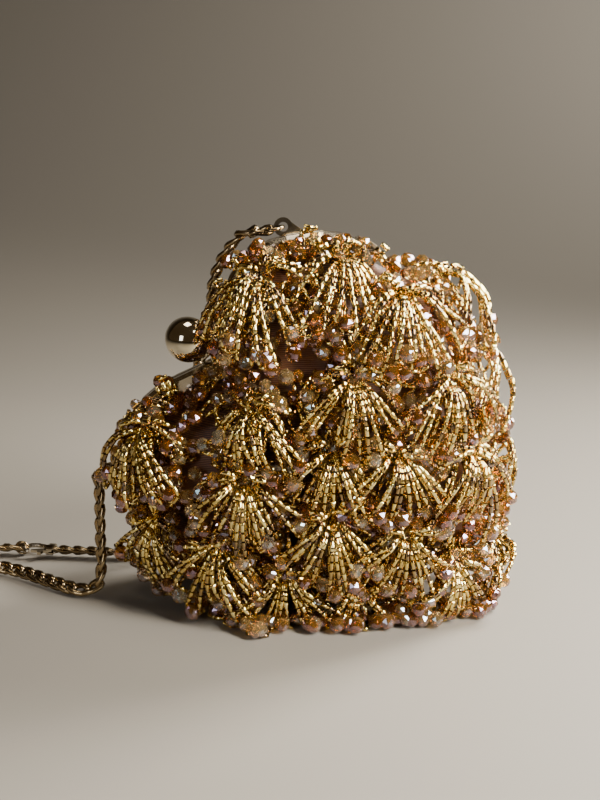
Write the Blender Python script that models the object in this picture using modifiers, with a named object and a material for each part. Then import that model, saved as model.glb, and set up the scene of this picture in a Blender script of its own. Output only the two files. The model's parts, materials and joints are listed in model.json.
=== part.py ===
"""Heart-shaped beaded mini bag with a ball clasp and a chain strap.

The bag is modelled upright in its own heart frame: x runs across the heart, z runs up towards
the notch between the lobes, y runs from the front (minus) to the back (plus). The whole bag is
then tilted about y by the stand empty, so that it rests on the beads of one lower side.
Units are metres, +Z is up, and the floor is z = 0.
"""
import bmesh
import bpy
import math
from mathutils import Matrix, Vector
from mathutils.bvhtree import BVHTree

for old in list(bpy.data.objects):
    bpy.data.objects.remove(old, do_unlink=True)

MM = 0.001
WELD = 0.002 * MM
THROUGH = 10 * MM
BEYOND = 200 * MM

# Stance of the whole bag
TILT = math.radians(54.4)
CLOTH_CLEAR = 10.3 * MM

# Clasp frame
BAR_WIDTH = 4.5 * MM
BAR_DEPTH = 6.5 * MM
BAR_WEB = 0.9 * MM
BAR_CROWN = 1.2 * MM
BAR_EDGE = 0.5 * MM
SEAT = 1.5 * MM
FRAME_GAP = 0.3 * MM
GROOVE_START = 1.7 * MM
FIT = 0.3 * MM
HINGE_X = 60.0 * MM
HINGE_Z = -27.0 * MM
LUG_RADIUS = 4.0 * MM
LUG_PLATE = 1.2 * MM
LUG_SPAN = 0.8
RIVET_RADIUS = 1.0 * MM
RIVET_HEAD = 2.0 * MM
RIVET_HEAD_THICK = 0.7 * MM
HEAD_SUNK = 0.05 * MM
EAR_X = 48.1 * MM
EAR_RISE = 3.6 * MM
EAR_RADIUS = 3.1 * MM
EAR_HOLE = 1.6 * MM
EAR_PLATE = 1.4 * MM
EAR_FOOT = 0.9

# Clasp balls
BALL_RADIUS = 7.5 * MM
BALL_SHIFT = 1.6 * MM
BALL_RISE = 11.0 * MM
STEM_RADIUS = 1.6 * MM
BALL_LEAN = BALL_RADIUS + 0.2 * MM

# Pouch
FABRIC = 1.3 * MM
FABRIC_INSET = 4.2 * MM
POUCH_HALF_DEPTH = 23.0 * MM
POUCH_CENTRE_Z = -50.0 * MM
LINING = 0.8 * MM
LINING_SUNK = FABRIC + 3 * FIT
BULGE_POWER = 2.8
NECK_LENGTH = 18.0 * MM
PANEL_SPLIT_Z = -44.0 * MM

# Bead tufts
LOOPS = 8
TUFT_REACH = 20.0 * MM
TUFT_DROP = 8.0 * MM
TUFT_HEIGHT = 12.5 * MM
TUFT_FOOT = 3.6 * MM
TUFT_GAP = 0.5 * MM
FLARE = 3.0 * MM
TUFT_CLEAR = 0.42 * MM
TUFT_LEVELS = 6
TUFT_PROFILE = [(0.0, 0.0), (0.0, 0.0), (0.80, 0.20), (1.0, 0.42), (0.66, 0.86), (0.28, 1.0), (0.0, 0.82)]
TUFT_WAIST = 0.70
TUFT_CROWN = 0.92
STEEPEST = 1.4
FEEL = 4.0 * MM

# Crystals that are sewn on the cloth between the tufts
CRYSTAL_RADIUS = 2.4 * MM
CRYSTAL_SUNK = 0.7 * MM
CRYSTAL_PITCH = 8.6 * MM
CRYSTAL_CLEAR = 0.5 * MM

# Chain
CHAIN_RADIUS = 2.5 * MM
RING_WIRE = 0.6 * MM
RING_RADIUS = 3.2 * MM
RING_SIDES = 11
COIL_OUTER = 29.0 * MM
COIL_INNER = 13.5 * MM
COIL_HEIGHT = 10.0 * MM
COIL_X = -151.0 * MM
COIL_Y = 30.0 * MM

CLASP_X = -101.0 * MM
CLASP_Y = 36.5 * MM
CLASP_Z = 3.0 * MM
CLASP_TURN = math.radians(172.0)
CLASP_RING = 2.3 * MM
CLASP_RING_WIRE = 0.48 * MM
HOOK_RADIUS = 0.9 * MM
LEVER_THICK = 1.0 * MM
LEVER_PIVOT = (-5.0 * MM, 0.9 * MM)
PIVOT_RADIUS = 0.5 * MM
PIVOT_SUNK = 0.2 * MM
CLASP_BASE = (-7.0 * MM, -3.6 * MM)
CLASP_HALF_WIDE = 2.6 * MM
CLASP_HALF_THICK = 1.5 * MM
CLASP_SOFTEN = 0.5 * MM
LEVER_EYE = 1.3
LEVER_THUMB = 4.9
LEVER_BACK = 3.1
LEVER_TIP = (1.7, 2.0)
HOOK_END = 5.5
HOOK_ROUTE = [
    (-5.0, -1.7, 0.0), (-3.0, -2.0, 0.0), (0.0, -3.0, 0.0), (3.5, -2.8, 0.0), (HOOK_END, 0.0, 0.0),
    (4.2, 2.5, 0.0), (2.3, 2.9, 0.0),
]

# The chain's routes through the world, after its own ends, in millimetres
ROUTE_STEPS = 2
ROUTE_LEFT = [
    (-70.6, 2.0, 36.0), (-70.6, 0.5, 22.0), (-70.6, -1.5, 10.0), (-73.0, -2.6, 4.2), (-79.0, -1.5, 2.8),
    (-89.0, 5.0, 2.8), (-100.0, 13.0, 2.8), (-110.0, 18.5, 2.8), (-121.5, 23.0, 2.9),
]
ROUTE_RIGHT = [
    (-20.0, 4.2, 124.9), (-26.6, 7.0, 118.0), (-31.0, 10.5, 107.5), (-32.5, 18.5, 94.0), (-37.0, 27.5, 80.0),
    (-41.0, 33.5, 64.0), (-43.5, 36.5, 46.0), (-44.5, 37.5, 28.0), (-45.5, 38.0, 12.0), (-49.0, 37.5, 4.4),
    (-57.0, 35.5, 2.8), (-69.0, 33.5, 2.8), (-82.0, 34.5, 2.9),
]
ROUTE_TAIL = [
    (-116.0, 38.0, 2.8), (-122.0, 38.0, 2.9),
]
RING_OUT = {-1: (-0.97, 0.23), 1: (-0.75, 0.66)}

DOWN = Vector((-math.sin(TILT), 0.0, -math.cos(TILT)))

BAR_END_Z = HINGE_Z + LUG_RADIUS + 2 * FIT
FRAME_HALF = [
    (0.0, -6.0), (9.0, -1.0), (20.0, 4.5), (31.0, 6.0), (42.0, 2.0), (51.0, -6.0), (57.5, -15.5),
    (HINGE_X / MM, HINGE_Z / MM),
]
LOWER_HALF = [
    (56.6, -33.5), (58.2, -42.0), (56.8, -50.5), (52.0, -60.5), (44.0, -71.5), (32.5, -84.5), (19.0, -97.0),
    (8.5, -105.5),
]
LOWER_TIP = (0.0, -110.5)


def material(name, colour, roughness, metallic):
    """A plain Principled material."""
    made = bpy.data.materials.new(name)
    made.use_nodes = True
    shader = made.node_tree.nodes["Principled BSDF"]
    shader.inputs["Base Color"].default_value = (*colour, 1.0)
    shader.inputs["Roughness"].default_value = roughness
    shader.inputs["Metallic"].default_value = metallic
    made.diffuse_color = (*colour, 1.0)
    return made


GOLD = material("pale_gold_metal", (0.72, 0.55, 0.33), 0.25, 1.0)
STEEL = material("rivet_metal", (0.60, 0.50, 0.36), 0.35, 1.0)
SATIN = material("amber_brown_satin", (0.20, 0.09, 0.03), 0.55, 0.0)
INNER = material("lining_cloth", (0.33, 0.22, 0.12), 0.8, 0.0)
BEADS = material("gold_glass_beads", (0.66, 0.44, 0.16), 0.25, 0.3)
CHAIN = material("antique_gold_chain", (0.50, 0.40, 0.26), 0.35, 1.0)

BAG = bpy.data.collections.new("heart_mini_bag")
CUTTERS = bpy.data.collections.new("cutters")
bpy.context.scene.collection.children.link(BAG)
bpy.context.scene.collection.children.link(CUTTERS)


def empty(name, location, parent=None):
    """An empty that carries a group of pieces."""
    made = bpy.data.objects.new(name, None)
    made.location = location
    made.parent = parent
    BAG.objects.link(made)
    return made


STAND = empty("stand", (0.0, 0.0, 0.0))
STAND.rotation_euler = (0.0, -TILT, 0.0)
HINGE = empty("frame_hinge_axis", (0.0, 0.0, HINGE_Z), STAND)


def keep(obj, name, look, moving=False):
    """Name a finished piece, give it its material and hang it on the body that carries it."""
    obj.name = name
    obj.data.name = name
    obj.data.materials.clear()
    obj.data.materials.append(look)
    for group in list(obj.users_collection):
        group.objects.unlink(obj)
    BAG.objects.link(obj)
    obj.parent = HINGE if moving else STAND
    if moving:
        obj.matrix_parent_inverse = Matrix.Translation((0.0, 0.0, -HINGE_Z))
    return obj


def active():
    """The object that an operator has just added."""
    return bpy.context.view_layer.objects.active


def bake(obj):
    """Turn an object with modifiers or a curve into a plain mesh that keeps its place."""
    bpy.context.view_layer.update()
    seen = obj.evaluated_get(bpy.context.evaluated_depsgraph_get())
    mesh = bpy.data.meshes.new_from_object(seen)
    mesh.transform(obj.matrix_world)
    weld(mesh)
    made = bpy.data.objects.new(obj.name, mesh)
    bpy.context.scene.collection.objects.link(made)
    bpy.data.objects.remove(obj, do_unlink=True)
    return made


def weld(mesh):
    """Join the doubled points of caps and make the faces point outwards."""
    work = bmesh.new()
    work.from_mesh(mesh)
    bmesh.ops.remove_doubles(work, verts=work.verts, dist=WELD)
    bmesh.ops.recalc_face_normals(work, faces=work.faces)
    work.to_mesh(mesh)
    work.free()


def combine(obj, other, operation):
    """Join or cut one solid with another, which is used up."""
    other.hide_render = True
    other.display_type = "WIRE"
    change = obj.modifiers.new(operation.lower(), "BOOLEAN")
    change.operation = operation
    change.solver = "EXACT"
    change.object = other
    made = bake(obj)
    bpy.data.objects.remove(other, do_unlink=True)
    return made


def cylinder(radius, length, centre, axis, sides=16):
    """A cylinder with its axis along X, Y or Z."""
    turn = {"X": (0.0, math.pi / 2, 0.0), "Y": (math.pi / 2, 0.0, 0.0), "Z": (0.0, 0.0, 0.0)}[axis]
    bpy.ops.mesh.primitive_cylinder_add(
        vertices=sides, radius=radius, depth=length, location=centre, rotation=turn)
    return active()


def box(low, high):
    """A box between two corners."""
    size = [b - a for a, b in zip(low, high)]
    centre = [(a + b) / 2 for a, b in zip(low, high)]
    bpy.ops.mesh.primitive_cube_add(size=1.0, location=centre)
    made = active()
    made.scale = size
    return bake(made)


def smooth(points, steps):
    """Points of a smooth curve that passes through every given point."""
    out = []
    last = len(points) - 1
    for i in range(last):
        p0 = Vector(points[max(i - 1, 0)])
        p1 = Vector(points[i])
        p2 = Vector(points[i + 1])
        p3 = Vector(points[min(i + 2, last)])
        for k in range(steps):
            t = k / steps
            out.append(0.5 * (2 * p1 + (p2 - p0) * t + (2 * p0 - 5 * p1 + 4 * p2 - p3) * t * t
                              + (3 * p1 - p0 - 3 * p2 + p3) * t ** 3))
    out.append(Vector(points[last]))
    return out


def both_sides(half):
    """Mirror a right-hand line of points and join both into one line, left end to right end."""
    left = [Vector((-p.x, p.y)) for p in reversed(half)]
    return left[:-1] + half


def inset(line, amount):
    """Move an open line of points sideways, towards the inside of the heart."""
    out = []
    for i, point in enumerate(line):
        ahead = line[min(i + 1, len(line) - 1)]
        behind = line[max(i - 1, 0)]
        along = (ahead - behind).normalized()
        out.append(point + Vector((along.y, -along.x)) * amount)
    return out


FRAME_LINE = both_sides(smooth([Vector(p) * MM for p in FRAME_HALF], 2))
MOUTH_LINE = inset(FRAME_LINE, FABRIC_INSET)
LOWER_RIGHT = [MOUTH_LINE[-1]] + [Vector(p) * MM for p in LOWER_HALF] + [Vector(LOWER_TIP) * MM]
LOWER_LINE = LOWER_RIGHT[1:] + [Vector((-p.x, p.y)) for p in reversed(LOWER_RIGHT[1:-1])]
CENTRE = Vector((0.0, POUCH_CENTRE_Z))
STAND_HEIGHT = max(Vector((p.x, 0.0, p.y)).dot(DOWN) for p in LOWER_LINE) + CLOTH_CLEAR
GROOVE_WIDTH = FABRIC + 2 * FIT
SLOT_FACE = FRAME_GAP / 2 + GROOVE_START + GROOVE_WIDTH - FIT
RING_INSETS = [0.0, BAR_DEPTH - FABRIC_INSET + 2.4 * MM, 13.0 * MM]
RING_LIMITS = [0.0, 0.2, 0.32]
RING_SHARES = [0.48]
MOUTH_FADE = 2


def pouch_outline():
    """The pouch's outline with, at each point, how far it is drawn in like the mouth, and if it is open."""
    out = [(p, 1.0, True) for p in MOUTH_LINE]
    last = len(LOWER_LINE) - 1
    for i, point in enumerate(LOWER_LINE):
        drawn = max(1.0 - (min(i, last - i) + 1) / MOUTH_FADE, 0.0)
        out.append((point, drawn, False))
    return out


OUTLINE = pouch_outline()


def outline_at(x, z):
    """Distance from the pouch's centre to its outline in the direction of a point, and the mouth share."""
    angle = math.atan2(z - CENTRE.y, x - CENTRE.x)
    count = len(OUTLINE)
    for i in range(count):
        a = OUTLINE[i][0] - CENTRE
        b = OUTLINE[(i + 1) % count][0] - CENTRE
        start = math.atan2(a.y, a.x)
        span = (start - math.atan2(b.y, b.x)) % (2 * math.pi)
        part = (start - angle) % (2 * math.pi)
        if part <= span + 1e-9:
            ray = Vector((math.cos(angle), math.sin(angle)))
            edge = b - a
            reach = (a.x * edge.y - a.y * edge.x) / (ray.x * edge.y - ray.y * edge.x)
            share = part / max(span, 1e-9)
            return reach, OUTLINE[i][1] * (1 - share) + OUTLINE[(i + 1) % count][1] * share
    return 1.0, 0.0


def half_depth(inward, reach, mouth):
    """Half thickness of the pouch at a distance inward from its outline."""
    share = min(max(1 - inward / reach, 0.0), 1.0)
    full = POUCH_HALF_DEPTH * math.sqrt(max(1 - share ** BULGE_POWER, 0.0))
    below = inward - RING_INSETS[1]
    spread = math.sin(math.pi / 2 * min(max(below / NECK_LENGTH, 0.0), 1.0))
    neck = SLOT_FACE + max(full - SLOT_FACE, 0.0) * spread
    return full * (1 - mouth) + neck * mouth


def depth_at(x, z):
    """Half thickness of the pouch at a point of the heart, or less than nothing outside it."""
    reach, mouth = outline_at(x, z)
    away = math.hypot(x - CENTRE.x, z - CENTRE.y)
    if away > reach:
        return reach - away
    return half_depth(reach - away, reach, mouth)


def highest_near(spot, around):
    """The pouch's greatest half thickness close to a point."""
    steps = ((0, 0), (around, 0), (-around, 0), (0, around), (0, -around))
    return max(depth_at(spot.x + x, spot.z + z) for x, z in steps)


def shell(name, sunk, skipped, thick):
    """A thin pouch that is open along the mouth: rings from the outline to the middle, front and back.

    It lies sunk under the pouch's face, and leaves out the first rings below the mouth.
    """
    count = len(OUTLINE)
    verts = []
    faces = []
    rows = {-1: [], 1: []}
    for side in (-1, 1):
        for ring in range(len(RING_INSETS) + len(RING_SHARES)):
            row = []
            for i, (point, mouth, opened) in enumerate(OUTLINE):
                if ring == 0 and not opened and side == 1:
                    row.append(rows[-1][0][i])
                    continue
                reach = (point - CENTRE).length
                if ring < len(RING_INSETS):
                    inward = min(RING_INSETS[ring], RING_LIMITS[ring] * reach)
                else:
                    inward = (1 - RING_SHARES[ring - len(RING_INSETS)]) * reach
                spot = point + (CENTRE - point) * (inward / reach)
                closed = ring == 0 and not opened
                depth = 0.0 if closed else half_depth(inward, reach, mouth)
                row.append(len(verts))
                verts.append((spot.x, side * depth, spot.y))
            rows[side].append(row)
        middle = len(verts)
        verts.append((CENTRE.x, side * POUCH_HALF_DEPTH, CENTRE.y))
        for ring, (outer, inner) in enumerate(zip(rows[side], rows[side][1:])):
            for i in range(count):
                j = (i + 1) % count
                if ring < skipped and max(OUTLINE[i][1], OUTLINE[j][1]) > 0.0:
                    continue
                face = (outer[i], outer[j], inner[j], inner[i])
                faces.append(face if side == 1 else face[::-1])
        last = rows[side][-1]
        for i in range(count):
            j = (i + 1) % count
            face = (last[i], last[j], middle)
            faces.append(face if side == 1 else face[::-1])
    mesh = bpy.data.meshes.new(name)
    mesh.from_pydata(verts, [], faces)
    mesh.validate()
    made = bpy.data.objects.new(name, mesh)
    bpy.context.scene.collection.objects.link(made)
    if sunk:
        push = made.modifiers.new("sunk", "DISPLACE")
        push.mid_level = 0.0
        push.strength = -sunk
    wall = made.modifiers.new("wall", "SOLIDIFY")
    wall.thickness = thick
    wall.offset = -1.0
    wall.use_even_offset = True
    return bake(made)


def face_tree(mesh):
    """A search tree over the faces of a mesh."""
    return BVHTree.FromPolygons([v.co for v in mesh.vertices], [tuple(f.vertices) for f in mesh.polygons])


def is_bare(centre, others):
    """Whether a crystal has room at a place, clear of all other pieces."""
    for tree in others:
        near, normal, _, away = tree.find_nearest(centre)
        if away < CRYSTAL_RADIUS + CRYSTAL_CLEAR or (centre - near).dot(normal) < 0:
            return False
    return True


def crystal_spots(cloth):
    """Places on a piece of cloth, on a triangular grid, that the tufts and the frame leave bare."""
    skin = face_tree(cloth.data)
    others = [face_tree(obj.data) for obj in BAG.objects if obj.type == "MESH"]
    rows = round(BEYOND / CRYSTAL_PITCH)
    out = []
    for row in range(-rows, rows + 1):
        z = CENTRE.y + row * CRYSTAL_PITCH * math.sin(math.radians(60.0))
        if abs(z - PANEL_SPLIT_Z) < CRYSTAL_RADIUS + FIT:
            continue
        for column in range(-rows, rows + 1):
            x = (column + row % 2 / 2) * CRYSTAL_PITCH
            depth = depth_at(x, z)
            for side in (-1, 1):
                guess = Vector((x, side * depth, z))
                near, normal, _, away = skin.find_nearest(guess)
                centre = near + normal * (CRYSTAL_RADIUS - CRYSTAL_SUNK)
                if depth > CRYSTAL_RADIUS and away < CRYSTAL_SUNK and is_bare(centre, others):
                    out.append(centre)
    return out


def sew_crystals(cloth):
    """Faceted crystals on a piece of cloth, wherever the tufts leave it bare."""
    work = bmesh.new()
    for centre in crystal_spots(cloth):
        place = Matrix.Translation(centre)
        bmesh.ops.create_icosphere(work, subdivisions=1, radius=CRYSTAL_RADIUS, matrix=place)
    mesh = bpy.data.meshes.new("crystals")
    work.to_mesh(mesh)
    work.free()
    crystals = bpy.data.objects.new("crystals", mesh)
    bpy.context.scene.collection.objects.link(crystals)
    return combine(cloth, crystals, "UNION")


def make_pouch():
    """Satin pouch, its loose upper front panel, and the lining of both."""
    for name, front_name, sunk, skipped, thick, look in (
            ("pouch_satin", "front_panel_satin", 0.0, 0, FABRIC, SATIN),
            ("pouch_lining", "front_panel_lining", LINING_SUNK, 2, LINING, INNER)):
        whole = shell(name, sunk, skipped, thick)
        spare = whole.copy()
        spare.data = whole.data.copy()
        bpy.context.scene.collection.objects.link(spare)
        lower = combine(whole, box((-BEYOND, -BEYOND, PANEL_SPLIT_Z - FIT / 2),
                                   (BEYOND, -FIT / 2, BEYOND)), "DIFFERENCE")
        upper = combine(spare, box((-BEYOND, -BEYOND, PANEL_SPLIT_Z + FIT / 2),
                                   (BEYOND, -FIT, BEYOND)), "INTERSECT")
        if look is SATIN:
            lower = sew_crystals(lower)
            upper = sew_crystals(upper)
        keep(lower, name, look)
        keep(upper, front_name, look, moving=True)


def frame_bar(side):
    """The grooved bar of one frame half, swept along the line of the mouth."""
    near = FRAME_GAP / 2
    far = near + BAR_WIDTH
    groove = near + GROOVE_START
    section = [
        (BAR_DEPTH, near), (BAR_EDGE, near), (0.0, near + BAR_EDGE), (0.0, far - BAR_CROWN),
        (BAR_CROWN, far), (BAR_DEPTH, far), (BAR_DEPTH, groove + GROOVE_WIDTH),
        (BAR_WEB, groove + GROOVE_WIDTH), (BAR_WEB, groove), (BAR_DEPTH, groove),
    ]
    profile = bpy.data.curves.new("bar_section", "CURVE")
    profile.dimensions = "2D"
    profile.fill_mode = "NONE"
    spline = profile.splines.new("POLY")
    spline.points.add(len(section) - 1)
    for point, (inward, out) in zip(spline.points, section):
        point.co = (inward, out * -side, 0.0, 1.0)
    spline.use_cyclic_u = True
    guide = bpy.data.objects.new("bar_section", profile)
    CUTTERS.objects.link(guide)
    path = bpy.data.curves.new("bar", "CURVE")
    path.dimensions = "2D"
    path.fill_mode = "NONE"
    path.render_resolution_u = 0
    line = path.splines.new("POLY")
    line.points.add(len(FRAME_LINE) - 1)
    for point, spot in zip(line.points, FRAME_LINE):
        point.co = (spot.x, spot.y, 0.0, 1.0)
    path.bevel_mode = "OBJECT"
    path.bevel_object = guide
    path.use_fill_caps = True
    bar = bpy.data.objects.new("bar", path)
    bar.rotation_euler = (math.pi / 2, 0.0, 0.0)
    bpy.context.scene.collection.objects.link(bar)
    made = bake(bar)
    bpy.data.objects.remove(guide, do_unlink=True)
    return combine(made, box((-BEYOND, -BEYOND, -BEYOND), (BEYOND, BEYOND, BAR_END_Z)), "DIFFERENCE")


def add_lugs(bar, side):
    """The round hinge lugs at both ends: the front half's lie inside the rear half's."""
    outer = HINGE_X if side == 1 else HINGE_X - LUG_PLATE - FIT
    for hand in (-1, 1):
        middle = hand * (outer - LUG_PLATE / 2)
        lug = cylinder(LUG_RADIUS, LUG_PLATE, (middle, 0.0, HINGE_Z), "X", 20)
        low, high = sorted((side * FRAME_GAP / 2, side * (FRAME_GAP / 2 + LUG_SPAN * BAR_WIDTH)))
        tongue = box((middle - LUG_PLATE / 2, low, HINGE_Z),
                     (middle + LUG_PLATE / 2, high, BAR_END_Z + SEAT))
        lug = combine(bake(lug), tongue, "UNION")
        bar = combine(bar, lug, "UNION")
        hole = cylinder(RIVET_RADIUS + FIT, THROUGH, (middle, 0.0, HINGE_Z), "X", 14)
        bar = combine(bar, hole, "DIFFERENCE")
    return bar


def bar_top(x):
    """Height of the bar's outer edge above or below a place across the heart."""
    for start, end in zip(FRAME_LINE, FRAME_LINE[1:]):
        if start.x <= x <= end.x:
            return start.y + (end.y - start.y) * (x - start.x) / (end.x - start.x)
    return HINGE_Z


def ear_centre(hand):
    """Centre of an ear's hole, above the outer edge of the rear bar."""
    return Vector((hand * EAR_X, FRAME_GAP / 2 + BAR_WIDTH / 2, bar_top(EAR_X) + EAR_RISE))


def add_ears(bar):
    """Two pierced ears that stand on the rear bar and carry the chain."""
    for hand in (-1, 1):
        spot = ear_centre(hand)
        plate = cylinder(EAR_RADIUS, EAR_PLATE, spot, "Y", 18)
        half = EAR_RADIUS * EAR_FOOT
        foot = box((spot.x - half, spot.y - EAR_PLATE / 2, spot.z - EAR_RISE - SEAT),
                   (spot.x + half, spot.y + EAR_PLATE / 2, spot.z))
        ear = combine(bake(plate), foot, "UNION")
        bar = combine(bar, ear, "UNION")
        bar = combine(bar, cylinder(EAR_HOLE, THROUGH, spot, "Y", 14), "DIFFERENCE")
    return bar


def make_frame():
    """Both halves of the clasp frame and the rivets that join them."""
    rear = add_ears(add_lugs(frame_bar(1), 1))
    keep(rear, "frame_rear", GOLD)
    keep(add_lugs(frame_bar(-1), -1), "frame_front", GOLD, moving=True)
    for hand, name in ((-1, "hinge_rivet_left"), (1, "hinge_rivet_right")):
        inner = HINGE_X - 2 * LUG_PLATE - FIT - FIT
        outer = HINGE_X + FIT
        pin = cylinder(RIVET_RADIUS, outer - inner, (hand * (outer + inner) / 2, 0.0, HINGE_Z), "X", 10)
        pin = bake(pin)
        for start, sign in ((outer, 1), (inner, -1)):
            middle = hand * (start + sign * (RIVET_HEAD_THICK / 2 - HEAD_SUNK))
            head = cylinder(RIVET_HEAD, RIVET_HEAD_THICK, (middle, 0.0, HINGE_Z), "X", 10)
            pin = combine(pin, bake(head), "UNION")
        keep(pin, name, STEEL)


def make_ball(side, name):
    """A polished ball whose short stem stands on the outer edge of its own frame half."""
    spot = Vector((-side * BALL_SHIFT, side * BALL_LEAN, FRAME_HALF[0][1] * MM + BALL_RISE))
    bpy.ops.mesh.primitive_uv_sphere_add(segments=14, ring_count=9, radius=BALL_RADIUS, location=spot)
    ball = bake(active())
    seat = max(bar_top(spot.x - STEM_RADIUS), bar_top(spot.x + STEM_RADIUS)) + FIT
    foot = Vector((spot.x, side * (FRAME_GAP / 2 + BAR_WIDTH * 0.55), seat))
    head = Vector((foot.x, foot.y, spot.z))
    stem = cylinder(STEM_RADIUS, (head - foot).length, (foot + head) / 2, "Z", 12)
    keep(combine(ball, bake(stem), "UNION"), name, GOLD, moving=side == -1)


class Clamp:
    """A half space that a tuft has to stay in: points p with (p - spot) . normal <= 0."""

    def __init__(self, spot, normal):
        self.spot = spot
        self.normal = normal

    def share(self, heart, point):
        """How much of the way from heart to point stays inside."""
        inside = (self.spot - heart).dot(self.normal)
        wanted = (point - heart).dot(self.normal)
        if wanted <= inside:
            return 1.0
        return max(inside / wanted, 0.0)


TUFTS_FRONT = [
    ("a", 30.8, -8.5, True), ("b", -28.0, -6.0, True), ("c", 46.5, -21.0, True), ("d", -46.5, -22.0, True),
    ("e", 2.5, -28.0, True),
    ("f", 49.5, -42.0, False), ("g", 25.0, -42.0, False), ("h", -19.0, -34.0, False),
    ("i", -40.0, -41.0, False), ("j", 4.5, -50.0, False), ("k", -13.0, -62.0, False),
    ("l", -35.5, -60.0, False), ("m", -3.0, -83.0, False), ("n", 14.0, -66.0, False),
    ("o", 23.5, -83.0, False), ("p", 38.5, -63.0, False), ("q", -25.5, -80.0, False),
    ("r", -3.0, -101.0, False),
]
TUFTS_BACK = [
    ("a", 31.0, -12.0), ("b", -29.0, -12.0), ("c", 46.0, -24.0), ("d", -46.0, -24.0),
    ("e", 1.0, -31.0), ("f", 40.0, -45.0), ("g", 19.0, -45.0), ("h", -20.0, -36.0),
    ("i", -41.0, -47.0), ("k", -7.0, -55.0), ("l", -29.0, -64.0),
    ("m", -5.0, -78.0), ("n", 18.0, -70.0), ("q", -20.0, -86.0), ("r", 3.0, -99.0),
]
TUFTS_EDGE = [
    ("a", 57.8, -47.0), ("b", 47.0, -68.0), ("c", 28.0, -89.0), ("d", 3.0, -110.0),
    ("e", -56.5, -50.0), ("f", -42.0, -74.0), ("g", -22.0, -94.0),
]


def surface_point(x, z, side):
    """A point just clear of the pouch's face, and the outward direction there."""
    y = depth_at(x, z)
    slope_x = (depth_at(x + FEEL, z) - depth_at(x - FEEL, z)) / (2 * FEEL)
    slope_z = (depth_at(x, z + FEEL) - depth_at(x, z - FEEL)) / (2 * FEEL)
    normal = Vector((-slope_x, side, -slope_z))
    flat = Vector((normal.x, normal.z))
    if flat.length > STEEPEST:
        flat = flat.normalized() * STEEPEST
        normal = Vector((flat.x, side, flat.y))
    normal.normalize()
    return Vector((x, side * y, z)) + normal * TUFT_CLEAR, normal


def edge_point(x, z):
    """A point just clear of the pouch's side seam nearest to (x, z), and the outward direction there."""
    best = min(range(len(LOWER_LINE)), key=lambda i: (LOWER_LINE[i] - Vector((x, z))).length)
    spot = LOWER_LINE[best]
    ahead = LOWER_LINE[min(best + 1, len(LOWER_LINE) - 1)]
    behind = LOWER_LINE[max(best - 1, 0)]
    along = (ahead - behind).normalized()
    normal = Vector((-along.y, 0.0, along.x))
    if normal.dot(Vector((spot.x - CENTRE.x, 0.0, spot.y - CENTRE.y))) < 0:
        normal = -normal
    return Vector((spot.x, 0.0, spot.y)) + normal * TUFT_CLEAR, normal


def tuft_list():
    """Name, foot, outward direction and body of every bead tuft."""
    out = []
    for key, x, z, moving in TUFTS_FRONT:
        spot, normal = surface_point(x * MM, z * MM, -1)
        out.append(("tuft_front_" + key, spot, normal, moving))
    for key, x, z in TUFTS_BACK:
        spot, normal = surface_point(x * MM, z * MM, 1)
        out.append(("tuft_back_" + key, spot, normal, False))
    for key, x, z in TUFTS_EDGE:
        spot, normal = edge_point(x * MM, z * MM)
        out.append(("tuft_edge_" + key, spot, normal, False))
    return out


def droop(normal):
    """The downhill direction along the cloth."""
    fall = DOWN - normal * DOWN.dot(normal)
    return fall.normalized() if fall.length > 0.05 else Vector((1.0, 0.0, 0.0))


def tuft_heart(spot, normal):
    """The middle of a tuft's space, a little downhill of its stitched foot."""
    return spot + normal * TUFT_HEIGHT * 0.42 + droop(normal) * TUFT_DROP * 0.55


def make_tuft(name, spot, normal, moving, walls, side):
    """One tuft: bead loops that fan out from a stitched foot and hang downhill, as one fluted skirt."""
    bpy.ops.mesh.primitive_uv_sphere_add(segments=2 * LOOPS, ring_count=TUFT_LEVELS, radius=1.0)
    raw = active()
    down = droop(normal)
    across = normal.cross(down)
    heart = tuft_heart(spot, normal)
    for vert in raw.data.vertices:
        level = round(TUFT_LEVELS * (1 - math.acos(max(min(vert.co.z, 1.0), -1.0)) / math.pi))
        turn = math.atan2(vert.co.y, vert.co.x)
        folded = round(turn / (math.pi / LOOPS)) % 2 == 1
        out, up = TUFT_PROFILE[level]
        reach = TUFT_REACH + TUFT_DROP * math.cos(turn)
        flute = 1.0
        if folded:
            flute = TUFT_WAIST if level in (2, 3, 4) else TUFT_CROWN
        radius = TUFT_FOOT if level == 1 else out * reach * flute
        height = up * TUFT_HEIGHT * (TUFT_CROWN if folded else 1.0)
        lean = TUFT_DROP * out * 0.5 if level in (4, 5) else 0.0
        place = spot + (down * math.cos(turn) + across * math.sin(turn)) * radius + normal * height
        place = place + DOWN * lean
        share = min([wall.share(heart, place) for wall in walls] + [1.0])
        place = heart + (place - heart) * (1.0 if level == 0 else share)
        if side:
            around = FLARE if level > 1 else FLARE / 3
            cover = highest_near(place, around) + FIT * 1.6 + (FLARE * 0.6 if level > 1 else 0.0)
            place.y = side * max(side * place.y, cover)
        vert.co = place
    mesh = raw.data
    weld(mesh)
    keep(raw, name, BEADS, moving)


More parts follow.
